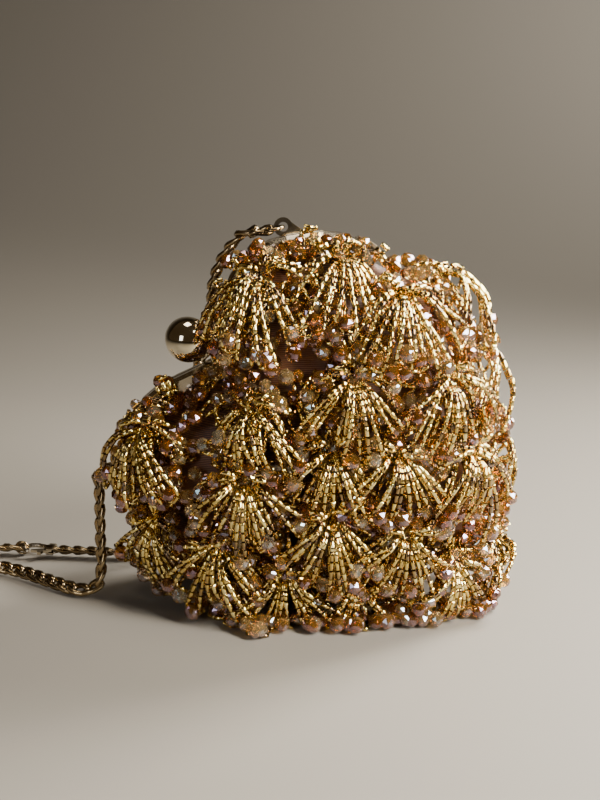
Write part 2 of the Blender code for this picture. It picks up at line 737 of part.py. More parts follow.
def make_tufts():
    """All bead tufts, each kept on its own side of the middle between it and its neighbours."""
    tufts = tuft_list()
    hearts = [tuft_heart(spot, normal) for _, spot, normal, _ in tufts]
    frame_face = FRAME_GAP / 2 + BAR_WIDTH + FIT
    for i, (name, spot, normal, moving) in enumerate(tufts):
        walls = [Clamp(STAND_HEIGHT * DOWN, DOWN)]
        side = (spot.y > 0) - (spot.y < 0)
        if spot.z > HINGE_Z - TUFT_REACH and side:
            walls.append(Clamp(Vector((0.0, side * frame_face, 0.0)), Vector((0.0, -side, 0.0))))
        for j, other in enumerate(hearts):
            gap = other - hearts[i]
            if i == j or gap.length > 2.6 * (TUFT_REACH + TUFT_DROP):
                continue
            away = gap.normalized()
            walls.append(Clamp(hearts[i] + gap / 2 - away * TUFT_GAP / 2, away))
        make_tuft(name, spot, normal, moving, walls, side)


def carried(spot):
    """World place of a point of the tilted bag."""
    bpy.context.view_layer.update()
    return STAND.matrix_world @ Vector(spot)


def settle():
    """Raise the stand to its height above the floor and centre the bag's box over the origin."""
    STAND.location.z = STAND_HEIGHT
    bpy.context.view_layer.update()
    meshes = [obj for obj in BAG.objects if obj.type == "MESH"]
    corners = [obj.matrix_world @ vert.co for obj in meshes for vert in obj.data.vertices]
    for axis in (0, 1):
        values = [corner[axis] for corner in corners]
        STAND.location[axis] -= (min(values) + max(values)) / 2
    bpy.context.view_layer.update()


def place_free(obj, name, look):
    """Name a piece that lies free of the tilted bag."""
    keep(obj, name, look)
    obj.parent = None
    return obj


def ring_pull(hand):
    """The direction in which the chain pulls on an ear's ring."""
    return Vector((RING_OUT[hand][0], 0.0, RING_OUT[hand][1])).normalized()


def make_ear_ring(hand, name):
    """A jump ring that passes through an ear's hole."""
    out = ring_pull(hand)
    centre = ear_centre(hand) + out * RING_RADIUS
    bpy.ops.mesh.primitive_torus_add(major_segments=RING_SIDES, minor_segments=5, major_radius=RING_RADIUS,
                                     minor_radius=RING_WIRE)
    ring = active()
    across = Vector((0.0, 1.0, 0.0))
    ring.matrix_world = Matrix.Translation(centre) @ Matrix((
        (out.x, across.x, out.cross(across).x), (out.y, across.y, out.cross(across).y),
        (out.z, across.z, out.cross(across).z))).to_4x4()
    keep(bake(ring), name, CHAIN)


def chain_start(hand):
    """The first two points of the chain that hangs from an ear's ring."""
    far = 2 * RING_RADIUS + RING_WIRE + FIT
    return [carried(ear_centre(hand) + ring_pull(hand) * reach) for reach in (far, far + CHAIN_RADIUS)]


def chain_tube(name, route):
    """The plain body of a stretch of chain along a smooth route."""
    line = smooth(route, ROUTE_STEPS)
    curve = bpy.data.curves.new(name, "CURVE")
    curve.dimensions = "3D"
    curve.render_resolution_u = 0
    curve.bevel_depth = CHAIN_RADIUS
    curve.bevel_resolution = 2
    curve.use_fill_caps = True
    spline = curve.splines.new("POLY")
    spline.points.add(len(line) - 1)
    for point, spot in zip(spline.points, line):
        point.co = (*spot, 1.0)
    tube = bpy.data.objects.new(name, curve)
    bpy.context.scene.collection.objects.link(tube)
    place_free(bake(tube), name, CHAIN)


def make_coil():
    """The outer shape of the neat coil of chain that lies beside the bag."""
    half = COIL_HEIGHT / 2
    corner = COIL_HEIGHT * 0.22
    outline = [
        (COIL_OUTER - corner, half), (COIL_OUTER, half - corner), (COIL_OUTER, corner - half),
        (COIL_OUTER - corner, -half), (COIL_INNER + corner, -half), (COIL_INNER, corner - half),
        (COIL_INNER, half - corner), (COIL_INNER + corner, half),
    ]
    mesh = bpy.data.meshes.new("chain_coil")
    verts = [(x, 0.0, z) for x, z in outline]
    edges = [(i, (i + 1) % len(verts)) for i in range(len(verts))]
    mesh.from_pydata(verts, edges, [])
    coil = bpy.data.objects.new("chain_coil", mesh)
    coil.location = (COIL_X, COIL_Y, half)
    bpy.context.scene.collection.objects.link(coil)
    turn = coil.modifiers.new("turn", "SCREW")
    turn.axis = "Z"
    turn.steps = 18
    turn.render_steps = 18
    turn.use_merge_vertices = True
    turn.merge_threshold = 0.0001 * MM
    turn.use_normal_calculate = True
    place_free(bake(coil), "chain_coil", CHAIN)


def clasp_place(x, y, z=0.0):
    """World place of a point of the clasp, whose x runs along the chain away from the bag."""
    ahead = Vector((math.cos(CLASP_TURN), math.sin(CLASP_TURN), 0.0))
    side = Vector((-ahead.y, ahead.x, 0.0))
    return Vector((CLASP_X, CLASP_Y, CLASP_Z)) + ahead * x + side * y + Vector((0.0, 0.0, z))


def clasp_matrix():
    """The clasp's own frame in the world."""
    return Matrix.Translation((CLASP_X, CLASP_Y, CLASP_Z)) @ Matrix.Rotation(CLASP_TURN, 4, "Z")


def flat_piece(name, outline, thick):
    """A flat outline given its thickness."""
    curve = bpy.data.curves.new(name, "CURVE")
    curve.dimensions = "2D"
    curve.fill_mode = "BOTH"
    curve.extrude = thick / 2
    curve.render_resolution_u = 0
    spline = curve.splines.new("POLY")
    spline.points.add(len(outline) - 1)
    for point, (x, y) in zip(spline.points, outline):
        point.co = (x, y, 0.0, 1.0)
    spline.use_cyclic_u = True
    made = bpy.data.objects.new(name, curve)
    bpy.context.scene.collection.objects.link(made)
    return bake(made)


def make_clasp():
    """The lobster clasp: a hook with a forked base, a sprung thumb lever and the ring that it holds."""
    base_start, base_end = CLASP_BASE
    slot = LEVER_THICK / 2 + FIT / 2
    body = box((base_start, -CLASP_HALF_WIDE, -CLASP_HALF_THICK),
               (base_end, CLASP_HALF_WIDE, CLASP_HALF_THICK))
    soften = body.modifiers.new("soften", "BEVEL")
    soften.width = CLASP_SOFTEN
    soften.segments = 1
    body = bake(body)
    curve = bpy.data.curves.new("hook", "CURVE")
    curve.dimensions = "3D"
    curve.render_resolution_u = 0
    curve.bevel_depth = HOOK_RADIUS
    curve.bevel_resolution = 2
    curve.use_fill_caps = True
    spline = curve.splines.new("POLY")
    line = smooth([Vector(p) * MM for p in HOOK_ROUTE], ROUTE_STEPS)
    spline.points.add(len(line) - 1)
    for point, spot in zip(spline.points, line):
        point.co = (*spot, 1.0)
    hook = bpy.data.objects.new("hook", curve)
    bpy.context.scene.collection.objects.link(hook)
    body = combine(body, bake(hook), "UNION")
    body = combine(body, box((LEVER_PIVOT[0] - 1.9 * MM, LEVER_PIVOT[1] - 2.1 * MM, -slot),
                             (base_end + MM, CLASP_HALF_WIDE + MM, slot)), "DIFFERENCE")
    pin = cylinder(PIVOT_RADIUS, 2 * (CLASP_HALF_THICK - PIVOT_SUNK), (*LEVER_PIVOT, 0.0), "Z", 10)
    body = combine(body, pin, "UNION")
    body.matrix_world = clasp_matrix()
    place_free(bake(body), "chain_clasp_body", GOLD)

    px, py = LEVER_PIVOT[0] / MM, LEVER_PIVOT[1] / MM
    slant = LEVER_EYE * math.sqrt(0.5)
    outline = [
        (px - LEVER_EYE, py), (px - slant, py - slant), (px, py - LEVER_EYE), (px + 1.6, py - 0.3), LEVER_TIP,
        (LEVER_TIP[0], LEVER_BACK), (-1.0, LEVER_BACK), (-1.4, LEVER_THUMB), (-2.8, LEVER_THUMB),
        (-3.1, LEVER_BACK), (px, py + LEVER_EYE), (px - slant, py + slant),
    ]
    lever = flat_piece("lever", [(x * MM, y * MM) for x, y in outline], LEVER_THICK)
    lever = combine(lever, cylinder(PIVOT_RADIUS + FIT, THROUGH, (*LEVER_PIVOT, 0.0), "Z", 10), "DIFFERENCE")
    lever.matrix_world = clasp_matrix()
    lever = place_free(bake(lever), "chain_clasp_lever", GOLD)
    axis = clasp_place(*LEVER_PIVOT)
    lever.data.transform(Matrix.Translation(-axis))
    lever.location = axis

    bpy.ops.mesh.primitive_torus_add(major_segments=RING_SIDES, minor_segments=5, major_radius=CLASP_RING,
                                     minor_radius=CLASP_RING_WIRE)
    ring = active()
    reach = HOOK_END * MM - HOOK_RADIUS - FIT + CLASP_RING - CLASP_RING_WIRE
    upright = Matrix.Rotation(math.pi / 2, 4, "X")
    ring.matrix_world = clasp_matrix() @ Matrix.Translation((reach, 0.0, 0.0)) @ upright
    place_free(bake(ring), "chain_clasp_ring", GOLD)
    tail = clasp_place(reach + CLASP_RING + CLASP_RING_WIRE + FIT, 0.0)
    return clasp_place(base_start - FIT, 0.0), tail


def make_chain():
    """The chain strap: it hangs from both ears, lies on the floor and ends in one coil beside the bag."""
    before_clasp, after_clasp = make_clasp()
    chain_tube("chain_left", chain_start(-1) + [Vector(p) * MM for p in ROUTE_LEFT])
    chain_tube("chain_right", chain_start(1) + [Vector(p) * MM for p in ROUTE_RIGHT] + [before_clasp])
    chain_tube("chain_tail", [after_clasp] + [Vector(p) * MM for p in ROUTE_TAIL])
    make_coil()


def build():
    """Everything, in the order in which such a bag is put together."""
    make_frame()
    for side, name in ((1, "clasp_ball_rear"), (-1, "clasp_ball_front")):
        make_ball(side, name)
    make_tufts()
    make_pouch()
    make_ear_ring(-1, "ear_ring_left")
    make_ear_ring(1, "ear_ring_right")
    settle()
    make_chain()


build()
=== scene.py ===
"""Looks of a heart-shaped evening bag: gold glass bead tufts on ribbed satin, a ball clasp frame and a chain.

Everything is in metres. Lengths are written in millimetres times MM. Points with x, y, z in the heart's own
frame (x across the heart, y front to back, z towards the notch) are taken to the world by from_heart().
"""

import json
import math
import random

import bmesh
import bpy
from mathutils import Matrix, Vector
from mathutils.bvhtree import BVHTree


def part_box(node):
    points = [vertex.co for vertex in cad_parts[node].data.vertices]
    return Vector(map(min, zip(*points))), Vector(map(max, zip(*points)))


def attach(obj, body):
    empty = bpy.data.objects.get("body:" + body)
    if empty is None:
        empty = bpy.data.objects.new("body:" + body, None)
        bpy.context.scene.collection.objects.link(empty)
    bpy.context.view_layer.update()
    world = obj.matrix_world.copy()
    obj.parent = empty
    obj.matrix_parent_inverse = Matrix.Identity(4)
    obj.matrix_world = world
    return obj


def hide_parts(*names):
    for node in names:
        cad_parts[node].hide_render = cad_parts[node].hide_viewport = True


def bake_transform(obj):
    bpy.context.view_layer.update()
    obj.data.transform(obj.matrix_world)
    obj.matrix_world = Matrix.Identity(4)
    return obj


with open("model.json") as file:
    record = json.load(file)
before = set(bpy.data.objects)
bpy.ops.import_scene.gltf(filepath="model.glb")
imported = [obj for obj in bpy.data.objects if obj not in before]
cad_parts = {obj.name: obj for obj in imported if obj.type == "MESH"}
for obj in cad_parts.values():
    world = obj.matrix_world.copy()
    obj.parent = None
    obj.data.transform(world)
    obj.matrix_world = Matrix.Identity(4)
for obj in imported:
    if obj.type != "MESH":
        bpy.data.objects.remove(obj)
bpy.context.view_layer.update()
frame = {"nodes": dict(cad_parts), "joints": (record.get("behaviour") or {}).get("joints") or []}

MM = 0.001

# The stance and the shapes of the solids that the looks are fitted to, as in the part's source
TILT = math.radians(54.4)
HINGE_Z = -27.0 * MM
FRAME_GAP = 0.3 * MM
BAR_WIDTH = 4.5 * MM
BAR_DEPTH = 6.5 * MM
GROOVE_START = 1.7 * MM
FABRIC = 1.3 * MM
FABRIC_INSET = 4.2 * MM
FIT = 0.3 * MM
POUCH_HALF_DEPTH = 23.0 * MM
CENTRE = Vector((0.0, -50.0 * MM))
BULGE_POWER = 2.8
NECK_LENGTH = 18.0 * MM
SLOT_FACE = FRAME_GAP / 2 + GROOVE_START + FABRIC + FIT
NECK_START = BAR_DEPTH - FABRIC_INSET + 2.4 * MM
FRAME_HALF = [
    (0.0, -6.0), (9.0, -1.0), (20.0, 4.5), (31.0, 6.0), (42.0, 2.0), (51.0, -6.0), (57.5, -15.5), (60.0, -27.0),
]
LOWER_HALF = [
    (56.6, -33.5), (58.2, -42.0), (56.8, -50.5), (52.0, -60.5), (44.0, -71.5), (32.5, -84.5), (19.0, -97.0),
    (8.5, -105.5), (0.0, -110.5),
]
TUFT_DROP = 8.0 * MM
TUFT_HEIGHT = 12.5 * MM
TUFT_CLEAR = 0.42 * MM
STEEPEST = 1.4
TUFTS_FRONT = {
    "a": (30.8, -8.5), "b": (-28.0, -6.0), "c": (46.5, -21.0), "d": (-46.5, -22.0), "e": (2.5, -28.0),
    "f": (49.5, -42.0), "g": (25.0, -42.0), "h": (-19.0, -34.0), "i": (-40.0, -41.0), "j": (4.5, -50.0),
    "k": (-13.0, -62.0), "l": (-35.5, -60.0), "m": (-3.0, -83.0), "n": (14.0, -66.0), "o": (23.5, -83.0),
    "p": (38.5, -63.0), "q": (-25.5, -80.0), "r": (-3.0, -101.0),
}
TUFTS_BACK = {
    "a": (31.0, -12.0), "b": (-29.0, -12.0), "c": (46.0, -24.0), "d": (-46.0, -24.0), "e": (1.0, -31.0),
    "f": (40.0, -45.0), "g": (19.0, -45.0), "h": (-20.0, -36.0), "i": (-41.0, -47.0), "k": (-7.0, -55.0),
    "l": (-29.0, -64.0), "m": (-5.0, -78.0), "n": (18.0, -70.0), "q": (-20.0, -86.0), "r": (3.0, -99.0),
}
TUFTS_EDGE = {
    "a": (57.8, -47.0), "b": (47.0, -68.0), "c": (28.0, -89.0), "d": (3.0, -110.0), "e": (-56.5, -50.0),
    "f": (-42.0, -74.0), "g": (-22.0, -94.0),
}

# Beads
BUGLE_LENGTH = 2.95 * MM
BUGLE_RADIUS = 0.76 * MM
BUGLE_PITCH = 3.1 * MM
CRYSTAL_RADIUS = 2.75 * MM
LOOPS = 14
LOOP_REACH = (13.5 * MM, 19.0 * MM, 29.0 * MM)
LOOP_HEIGHT = 14.0 * MM
LOOP_SAG = 14.0 * MM
RIM_STEP = 4.6 * MM
RIM_ROOT = BAR_DEPTH + 2.5 * MM
BALL_ROOM = 13.0 * MM

# Chain
LINK_HALF_LENGTH = 3.8 * MM
LINK_HALF_WIDTH = 1.6 * MM
LINK_WIRE = 1.05 * MM
LINK_PITCH = 5.3 * MM
LINK_TWIST = math.radians(84.0)
LINK_LEAN = math.radians(35.0)
RING_RADIUS = 3.2 * MM
RING_WIRE = 0.6 * MM
RING_OUT = {-1: (-0.97, 0.23), 1: (-0.75, 0.66)}
CLASP_RING = 2.3 * MM
CLASP_RING_WIRE = 0.48 * MM
CLASP_PLACE = Vector((-101.0, 36.5, 3.0)) * MM
CLASP_TURN = math.radians(172.0)
CLASP_AHEAD = Vector((math.cos(CLASP_TURN), math.sin(CLASP_TURN), 0.0))
CLASP_ACROSS = Vector((-CLASP_AHEAD.y, CLASP_AHEAD.x, 0.0))
CLASP_TAIL = CLASP_PLACE - CLASP_AHEAD * 7.3 * MM
CLASP_HEAD = CLASP_PLACE + CLASP_AHEAD * 9.5 * MM
COIL_CENTRE = Vector((-151.0, 30.0, 0.0)) * MM
COIL_OUTER = 26.3 * MM
COIL_INNER = 15.8 * MM
COIL_PITCH = 5.25 * MM
COIL_LOW = 2.5 * MM
COIL_HIGH = 7.6 * MM
ROUTE_LEFT = [
    (-70.6, 2.0, 36.0), (-70.6, 0.5, 22.0), (-70.6, -1.5, 10.0), (-73.0, -2.6, 4.2), (-79.0, -1.5, 2.8),
    (-89.0, 5.0, 2.8), (-100.0, 13.0, 2.8), (-110.0, 18.5, 2.8), (-121.5, 23.0, 2.9),
]
ROUTE_RIGHT = [
    (-20.0, 4.2, 124.9), (-26.6, 7.0, 118.0), (-31.0, 10.5, 107.5), (-32.5, 18.5, 94.0), (-37.0, 27.5, 80.0),
    (-41.0, 33.5, 64.0), (-43.5, 36.5, 46.0), (-44.5, 37.5, 28.0), (-45.5, 38.0, 12.0), (-49.0, 37.5, 4.4),
    (-57.0, 35.5, 2.8), (-69.0, 33.5, 2.8), (-82.0, 34.5, 2.9),
]
ROUTE_TAIL = [(-116.0, 38.0, 2.8), (-122.0, 38.0, 2.9)]


# World places

HINGE = Vector(next(j["pos_m"] for j in frame["joints"] if j["name"] == "frame_hinge"))
TURN = Matrix.Rotation(-TILT, 4, "Y")
STAND = Matrix.Translation(HINGE - TURN @ Vector((0.0, 0.0, HINGE_Z))) @ TURN
DOWN = TURN.inverted() @ Vector((0.0, 0.0, -1.0))


def from_heart(x, y, z):
    """World place of a point of the heart's own frame."""
    return STAND @ Vector((x, y, z))


# Node helpers

def linear(code):
    """Linear colour of an sRGB hex value."""
    parts = [int(code[i:i + 2], 16) / 255 for i in (1, 3, 5)]
    return (*[c / 12.92 if c <= 0.04045 else ((c + 0.055) / 1.055) ** 2.4 for c in parts], 1.0)


def add(tree, kind, settings=None, inputs=None):
    """Add a node, set its properties, and set or link its inputs."""
    node = tree.nodes.new(kind)
    for key, value in (settings or {}).items():
        setattr(node, key, value)
    for key, value in (inputs or {}).items():
        if isinstance(value, bpy.types.NodeSocket):
            tree.links.new(value, node.inputs[key])
        else:
            node.inputs[key].default_value = value
    return node


def new_material(name):
    """An empty material with its output and a Principled shader joined to it."""
    made = bpy.data.materials.new(name)
    made.use_nodes = True
    tree = made.node_tree
    tree.nodes.clear()
    shader = add(tree, "ShaderNodeBsdfPrincipled")
    add(tree, "ShaderNodeOutputMaterial", None, {"Surface": shader.outputs["BSDF"]})
    return made, tree, shader


def ramp(tree, factor, stops):
    """A colour ramp between sRGB hex colours."""
    node = add(tree, "ShaderNodeValToRGB", None, {"Fac": factor})
    band = node.color_ramp
    band.elements[0].position, band.elements[0].color = stops[0][0], linear(stops[0][1])
    band.elements[1].position, band.elements[1].color = stops[-1][0], linear(stops[-1][1])
    for place, code in stops[1:-1]:
        band.elements.new(place).color = linear(code)
    return node.outputs["Color"]


# Materials

def silver_lined_glass():
    """Gold glass tube beads with a silvered hole: a bright mirror core seen through amber glass."""
    made, tree, shader = new_material("silver_lined_gold_glass")
    tone = add(tree, "ShaderNodeAttribute", {"attribute_name": "tone"})
    colour = ramp(tree, tone.outputs["Fac"], [
        (0.0, "#6e5420"), (0.25, "#b09844"), (0.6, "#ead990"), (1.0, "#fffef0")])
    tree.links.new(colour, shader.inputs["Base Color"])
    shader.inputs["Metallic"].default_value = 1.0
    shader.inputs["Roughness"].default_value = 0.09
    shader.inputs["Coat Weight"].default_value = 1.0
    shader.inputs["Coat Roughness"].default_value = 0.04
    shader.inputs["Coat IOR"].default_value = 1.75
    shader.inputs["Coat Tint"].default_value = linear("#f3e098")
    return made


def coated_crystal():
    """Faceted amber glass with a metal-oxide film whose thickness differs from bead to bead, so its glints do too."""
    made, tree, shader = new_material("coated_amber_crystal")
    tone = add(tree, "ShaderNodeAttribute", {"attribute_name": "tone"})
    colour = ramp(tree, tone.outputs["Fac"], [
        (0.0, "#9a5c16"), (0.4, "#c88f3a"), (0.8, "#e6bf74"), (1.0, "#f8e4bb")])
    tree.links.new(colour, shader.inputs["Base Color"])
    film = add(tree, "ShaderNodeMapRange", None, {"Value": tone.outputs["Fac"], "To Min": 304.0, "To Max": 345.0})
    tree.links.new(film.outputs["Result"], shader.inputs["Thin Film Thickness"])
    shader.inputs["Thin Film IOR"].default_value = 1.8
    shader.inputs["Roughness"].default_value = 0.03
    shader.inputs["IOR"].default_value = 1.62
    shader.inputs["Transmission Weight"].default_value = 0.92
    shader.inputs["Coat Weight"].default_value = 0.6
    shader.inputs["Coat Roughness"].default_value = 0.02
    shader.inputs["Coat IOR"].default_value = 1.8
    return made


def ribbed_satin():
    """Grosgrain satin woven with a rib about every 0.6 mm, in a warm brown with a soft sheen."""
    made, tree, shader = new_material("ribbed_brown_satin")
    place = add(tree, "ShaderNodeAttribute", {"attribute_name": "weave"})
    ribs = add(tree, "ShaderNodeTexWave", {"wave_type": "BANDS", "bands_direction": "X", "wave_profile": "SIN"},
               {"Vector": place.outputs["Vector"], "Scale": 0.314 / (0.6 * MM), "Distortion": 0.4,
                "Detail": 1.0, "Detail Scale": 900.0})
    cloud = add(tree, "ShaderNodeTexNoise", None,
                {"Vector": place.outputs["Vector"], "Scale": 60.0, "Detail": 3.0})
    mixed = add(tree, "ShaderNodeMath", {"operation": "MULTIPLY"}, {0: ribs.outputs["Fac"], 1: 0.55})
    total = add(tree, "ShaderNodeMath", {"operation": "ADD"}, {0: mixed.outputs[0], 1: cloud.outputs["Fac"]})
    colour = ramp(tree, total.outputs[0], [(0.35, "#28130a"), (0.8, "#4c2913"), (1.1, "#6e4526")])
    tree.links.new(colour, shader.inputs["Base Color"])
    bump = add(tree, "ShaderNodeBump", None, {"Height": ribs.outputs["Fac"], "Strength": 0.6,
                                              "Distance": 0.12 * MM})
    tree.links.new(bump.outputs["Normal"], shader.inputs["Normal"])
    shader.inputs["Roughness"].default_value = 0.5
    shader.inputs["Sheen Weight"].default_value = 0.15
    shader.inputs["Sheen Tint"].default_value = linear("#c78a4a")
    return made


def lining_cloth():
    """Plain woven lining of matt acetate, a shade lighter than the satin."""
    made, tree, shader = new_material("plain_lining_cloth")
    place = add(tree, "ShaderNodeAttribute", {"attribute_name": "weave"})
    grain = add(tree, "ShaderNodeTexNoise", None,
                {"Vector": place.outputs["Vector"], "Scale": 900.0, "Detail": 2.0})
    colour = ramp(tree, grain.outputs["Fac"], [(0.3, "#7a5a3c"), (0.7, "#937150")])
    tree.links.new(colour, shader.inputs["Base Color"])
    bump = add(tree, "ShaderNodeBump", None, {"Height": grain.outputs["Fac"], "Strength": 0.4,
                                              "Distance": 0.05 * MM})
    tree.links.new(bump.outputs["Normal"], shader.inputs["Normal"])
    shader.inputs["Roughness"].default_value = 0.75
    return made


def plated_metal(name, light, dark, roughness, wear):
    """Plated zinc or brass: polished, with faint cloudy handling marks that dull it in places."""
    made, tree, shader = new_material(name)
    place = add(tree, "ShaderNodeTexCoord")
    marks = add(tree, "ShaderNodeTexNoise", None,
                {"Vector": place.outputs["Object"], "Scale": 140.0, "Detail": 4.0})
    colour = ramp(tree, marks.outputs["Fac"], [(0.25, dark), (0.6, light)])
    tree.links.new(colour, shader.inputs["Base Color"])
    rough = add(tree, "ShaderNodeMapRange", None, {
        "Value": marks.outputs["Fac"], "From Min": 0.3, "From Max": 0.75,
        "To Min": roughness, "To Max": roughness + wear})
    tree.links.new(rough.outputs["Result"], shader.inputs["Roughness"])
    shader.inputs["Metallic"].default_value = 1.0
    return made


BUGLE_GLASS = silver_lined_glass()
CRYSTAL_GLASS = coated_crystal()
SATIN = ribbed_satin()
LINING = lining_cloth()
BALL_METAL = plated_metal("polished_pale_gold_plate", "#d8cdb4", "#c2b491", 0.05, 0.05)
FRAME_METAL = plated_metal("pale_gold_frame_plate", "#c9bda6", "#a89a80", 0.14, 0.12)
CHAIN_METAL = plated_metal("antique_gold_chain_plate", "#a18b66", "#655338", 0.16, 0.12)
RIVET_METAL = plated_metal("rivet_plate", "#b9a888", "#8f7f63", 0.28, 0.1)


# Camera, floor and light

def make_camera():
    """The photograph's view: slightly above the bag, straight at its front."""
    data = bpy.data.cameras.new("camera")
    data.sensor_fit = "VERTICAL"
    data.sensor_height = 24.0
    data.lens = 24.0 * 1168.0 / 800.0
    made = bpy.data.objects.new("camera", data)
    made.location = (-1.9 * MM, -378.4 * MM, 164.3 * MM)
    made.rotation_euler = (math.radians(90.0 - 14.0), 0.0, 0.0)
    bpy.context.scene.collection.objects.link(made)
    bpy.context.scene.camera = made


def make_stage():
    """A plain pale sweep that runs back and curves up behind the bag."""
    floor_paint, tree, shader = new_material("pale_studio_sweep")
    shader.inputs["Base Color"].default_value = linear("#7d766b")
    shader.inputs["Roughness"].default_value = 0.6
    rise = [math.pi / 2 * k / 24 for k in range(1, 25)]
    profile = [(-4.0, 0.0), (0.3, 0.0)] + [(0.3 + 1.2 * math.sin(a), 1.2 - 1.2 * math.cos(a)) for a in rise]
    profile.append((1.5, 2.6))
    verts = [(x, y, z) for x in (-4.0, 4.0) for y, z in profile]
    count = len(profile)
    faces = [(i, count + i, count + i + 1, i + 1) for i in range(count - 1)]
    mesh = bpy.data.meshes.new("studio_sweep")
    mesh.from_pydata(verts, [], faces)
    mesh.shade_smooth()
    mesh.materials.append(floor_paint)
    sweep = bpy.data.objects.new("studio_sweep", mesh)
    bpy.context.scene.collection.objects.link(sweep)


def area_light(name, place, target, size, power, code):
    """A soft box with a grid, which points at a target."""
    data = bpy.data.lights.new(name, "AREA")
    data.shape = "RECTANGLE"
    data.size, data.size_y = size
    data.energy = power
    data.color = linear(code)[:3]
    data.spread = math.radians(110.0)
    made = bpy.data.objects.new(name, data)
    made.location = place
    made.rotation_euler = (Vector(target) - Vector(place)).to_track_quat("-Z", "Y").to_euler()
    bpy.context.scene.collection.objects.link(made)


def make_lights():
    """Window-like soft boxes at the right, before and behind the bag and for the backdrop, with weak fills."""
    area_light("front_window", (0.40, -0.30, 0.36), (0.0, 0.0, 0.06), (0.14, 0.46), 5.6, "#fffdf8")
    area_light("rear_window", (0.44, 0.24, 0.38), (0.0, 0.0, 0.06), (0.20, 0.50), 6.4, "#fffdf8")
    area_light("wall_window", (0.95, 0.40, 0.75), (0.45, 1.1, 0.3), (0.5, 0.6), 8.6, "#fffdf8")
    area_light("top_light", (-0.05, 0.05, 0.75), (0.0, 0.0, 0.06), (0.25, 0.25), 0.5, "#fff7ea")
    area_light("front_fill", (-0.40, -0.62, 0.30), (0.0, 0.0, 0.06), (0.2, 0.3), 0.4, "#f3f6ff")
    world = bpy.data.worlds.new("studio")
    world.use_nodes = True
    back = world.node_tree.nodes["Background"]
    back.inputs["Color"].default_value = linear("#8c7557")
    back.inputs["Strength"].default_value = 0.2
    bpy.context.scene.world = world


# Mesh helpers

def mesh_object(name, verts, faces, edges=()):
    """A new mesh object in the scene, at the origin."""
    mesh = bpy.data.meshes.new(name)
    mesh.from_pydata(verts, edges, faces)
    made = bpy.data.objects.new(name, mesh)
    bpy.context.scene.collection.objects.link(made)
    return made


def curve_object(name, lines):
    """A curve object with one open poly spline for each line of points."""
    data = bpy.data.curves.new(name, "CURVE")
    data.dimensions = "3D"
    for line in lines:
        spline = data.splines.new("POLY")
        spline.points.add(len(line) - 1)
        for point, spot in zip(spline.points, line):
            point.co = (*spot, 1.0)
    made = bpy.data.objects.new(name, data)
    bpy.context.scene.collection.objects.link(made)
    return made


def finished(obj, name, material=None):
    """The object with its modifiers applied, as a plain mesh at the origin."""
    bpy.context.view_layer.update()
    seen = obj.evaluated_get(bpy.context.evaluated_depsgraph_get())
    mesh = bpy.data.meshes.new_from_object(seen)
    mesh.transform(obj.matrix_world)
    mesh.name = name
    if material:
        mesh.materials.clear()
        mesh.materials.append(material)
    bpy.data.objects.remove(obj, do_unlink=True)
    made = bpy.data.objects.new(name, mesh)
    bpy.context.scene.collection.objects.link(made)
    return made


def smooth_line(points, steps):
    """Points of a smooth curve that passes through every given point."""
    out = []
    last = len(points) - 1
    for i in range(last):
        p0, p1 = Vector(points[max(i - 1, 0)]), Vector(points[i])
        p2, p3 = Vector(points[i + 1]), Vector(points[min(i + 2, last)])
        for k in range(steps):
            t = k / steps
            out.append(0.5 * (2 * p1 + (p2 - p0) * t + (2 * p0 - 5 * p1 + 4 * p2 - p3) * t * t
                              + (3 * p1 - p0 - 3 * p2 + p3) * t ** 3))
    out.append(Vector(points[last]))
    return out


# Bead shapes

def turned(name, profile, sides, twist=0.0):
    """A small turned shape from a profile of radius and height; each ring may be turned from the last."""
    verts = []
    for level, (radius, height) in enumerate(profile):
        for k in range(sides):
            angle = 2 * math.pi * k / sides + twist * level
            verts.append((radius * math.cos(angle), radius * math.sin(angle), height))
    faces = []
    for level in range(len(profile) - 1):
        for k in range(sides):
            a = level * sides + k
            b = level * sides + (k + 1) % sides
            if twist:
                faces += [(a, b, a + sides), (b, b + sides, a + sides)]
            else:
                faces.append((a, b, b + sides, a + sides))
    top = (len(profile) - 1) * sides
    faces.append(tuple(reversed(range(sides))))
    faces.append(tuple(range(top, top + sides)))
    return mesh_object(name, verts, faces)


def bugle_bead():
    """A cut glass tube with slightly broken edges."""
    end = BUGLE_LENGTH / 2
    edge = 0.08 * MM
    profile = [(BUGLE_RADIUS - edge, -end), (BUGLE_RADIUS, edge - end), (BUGLE_RADIUS, end - edge),
               (BUGLE_RADIUS - edge, end)]
    made = turned("bugle_bead", profile, 6)
    for face in made.data.polygons:
        face.use_smooth = abs(face.normal.z) < 0.1
    return made


def crystal_bead():
    """A faceted round bead: rows of diamond facets between two small flats."""
    profile = [(0.38, -0.80), (0.80, -0.55), (1.0, 0.0), (0.80, 0.55), (0.38, 0.80)]
    return turned("crystal_bead", [(r * CRYSTAL_RADIUS, h * CRYSTAL_RADIUS) for r, h in profile], 8,
                  math.pi / 8)


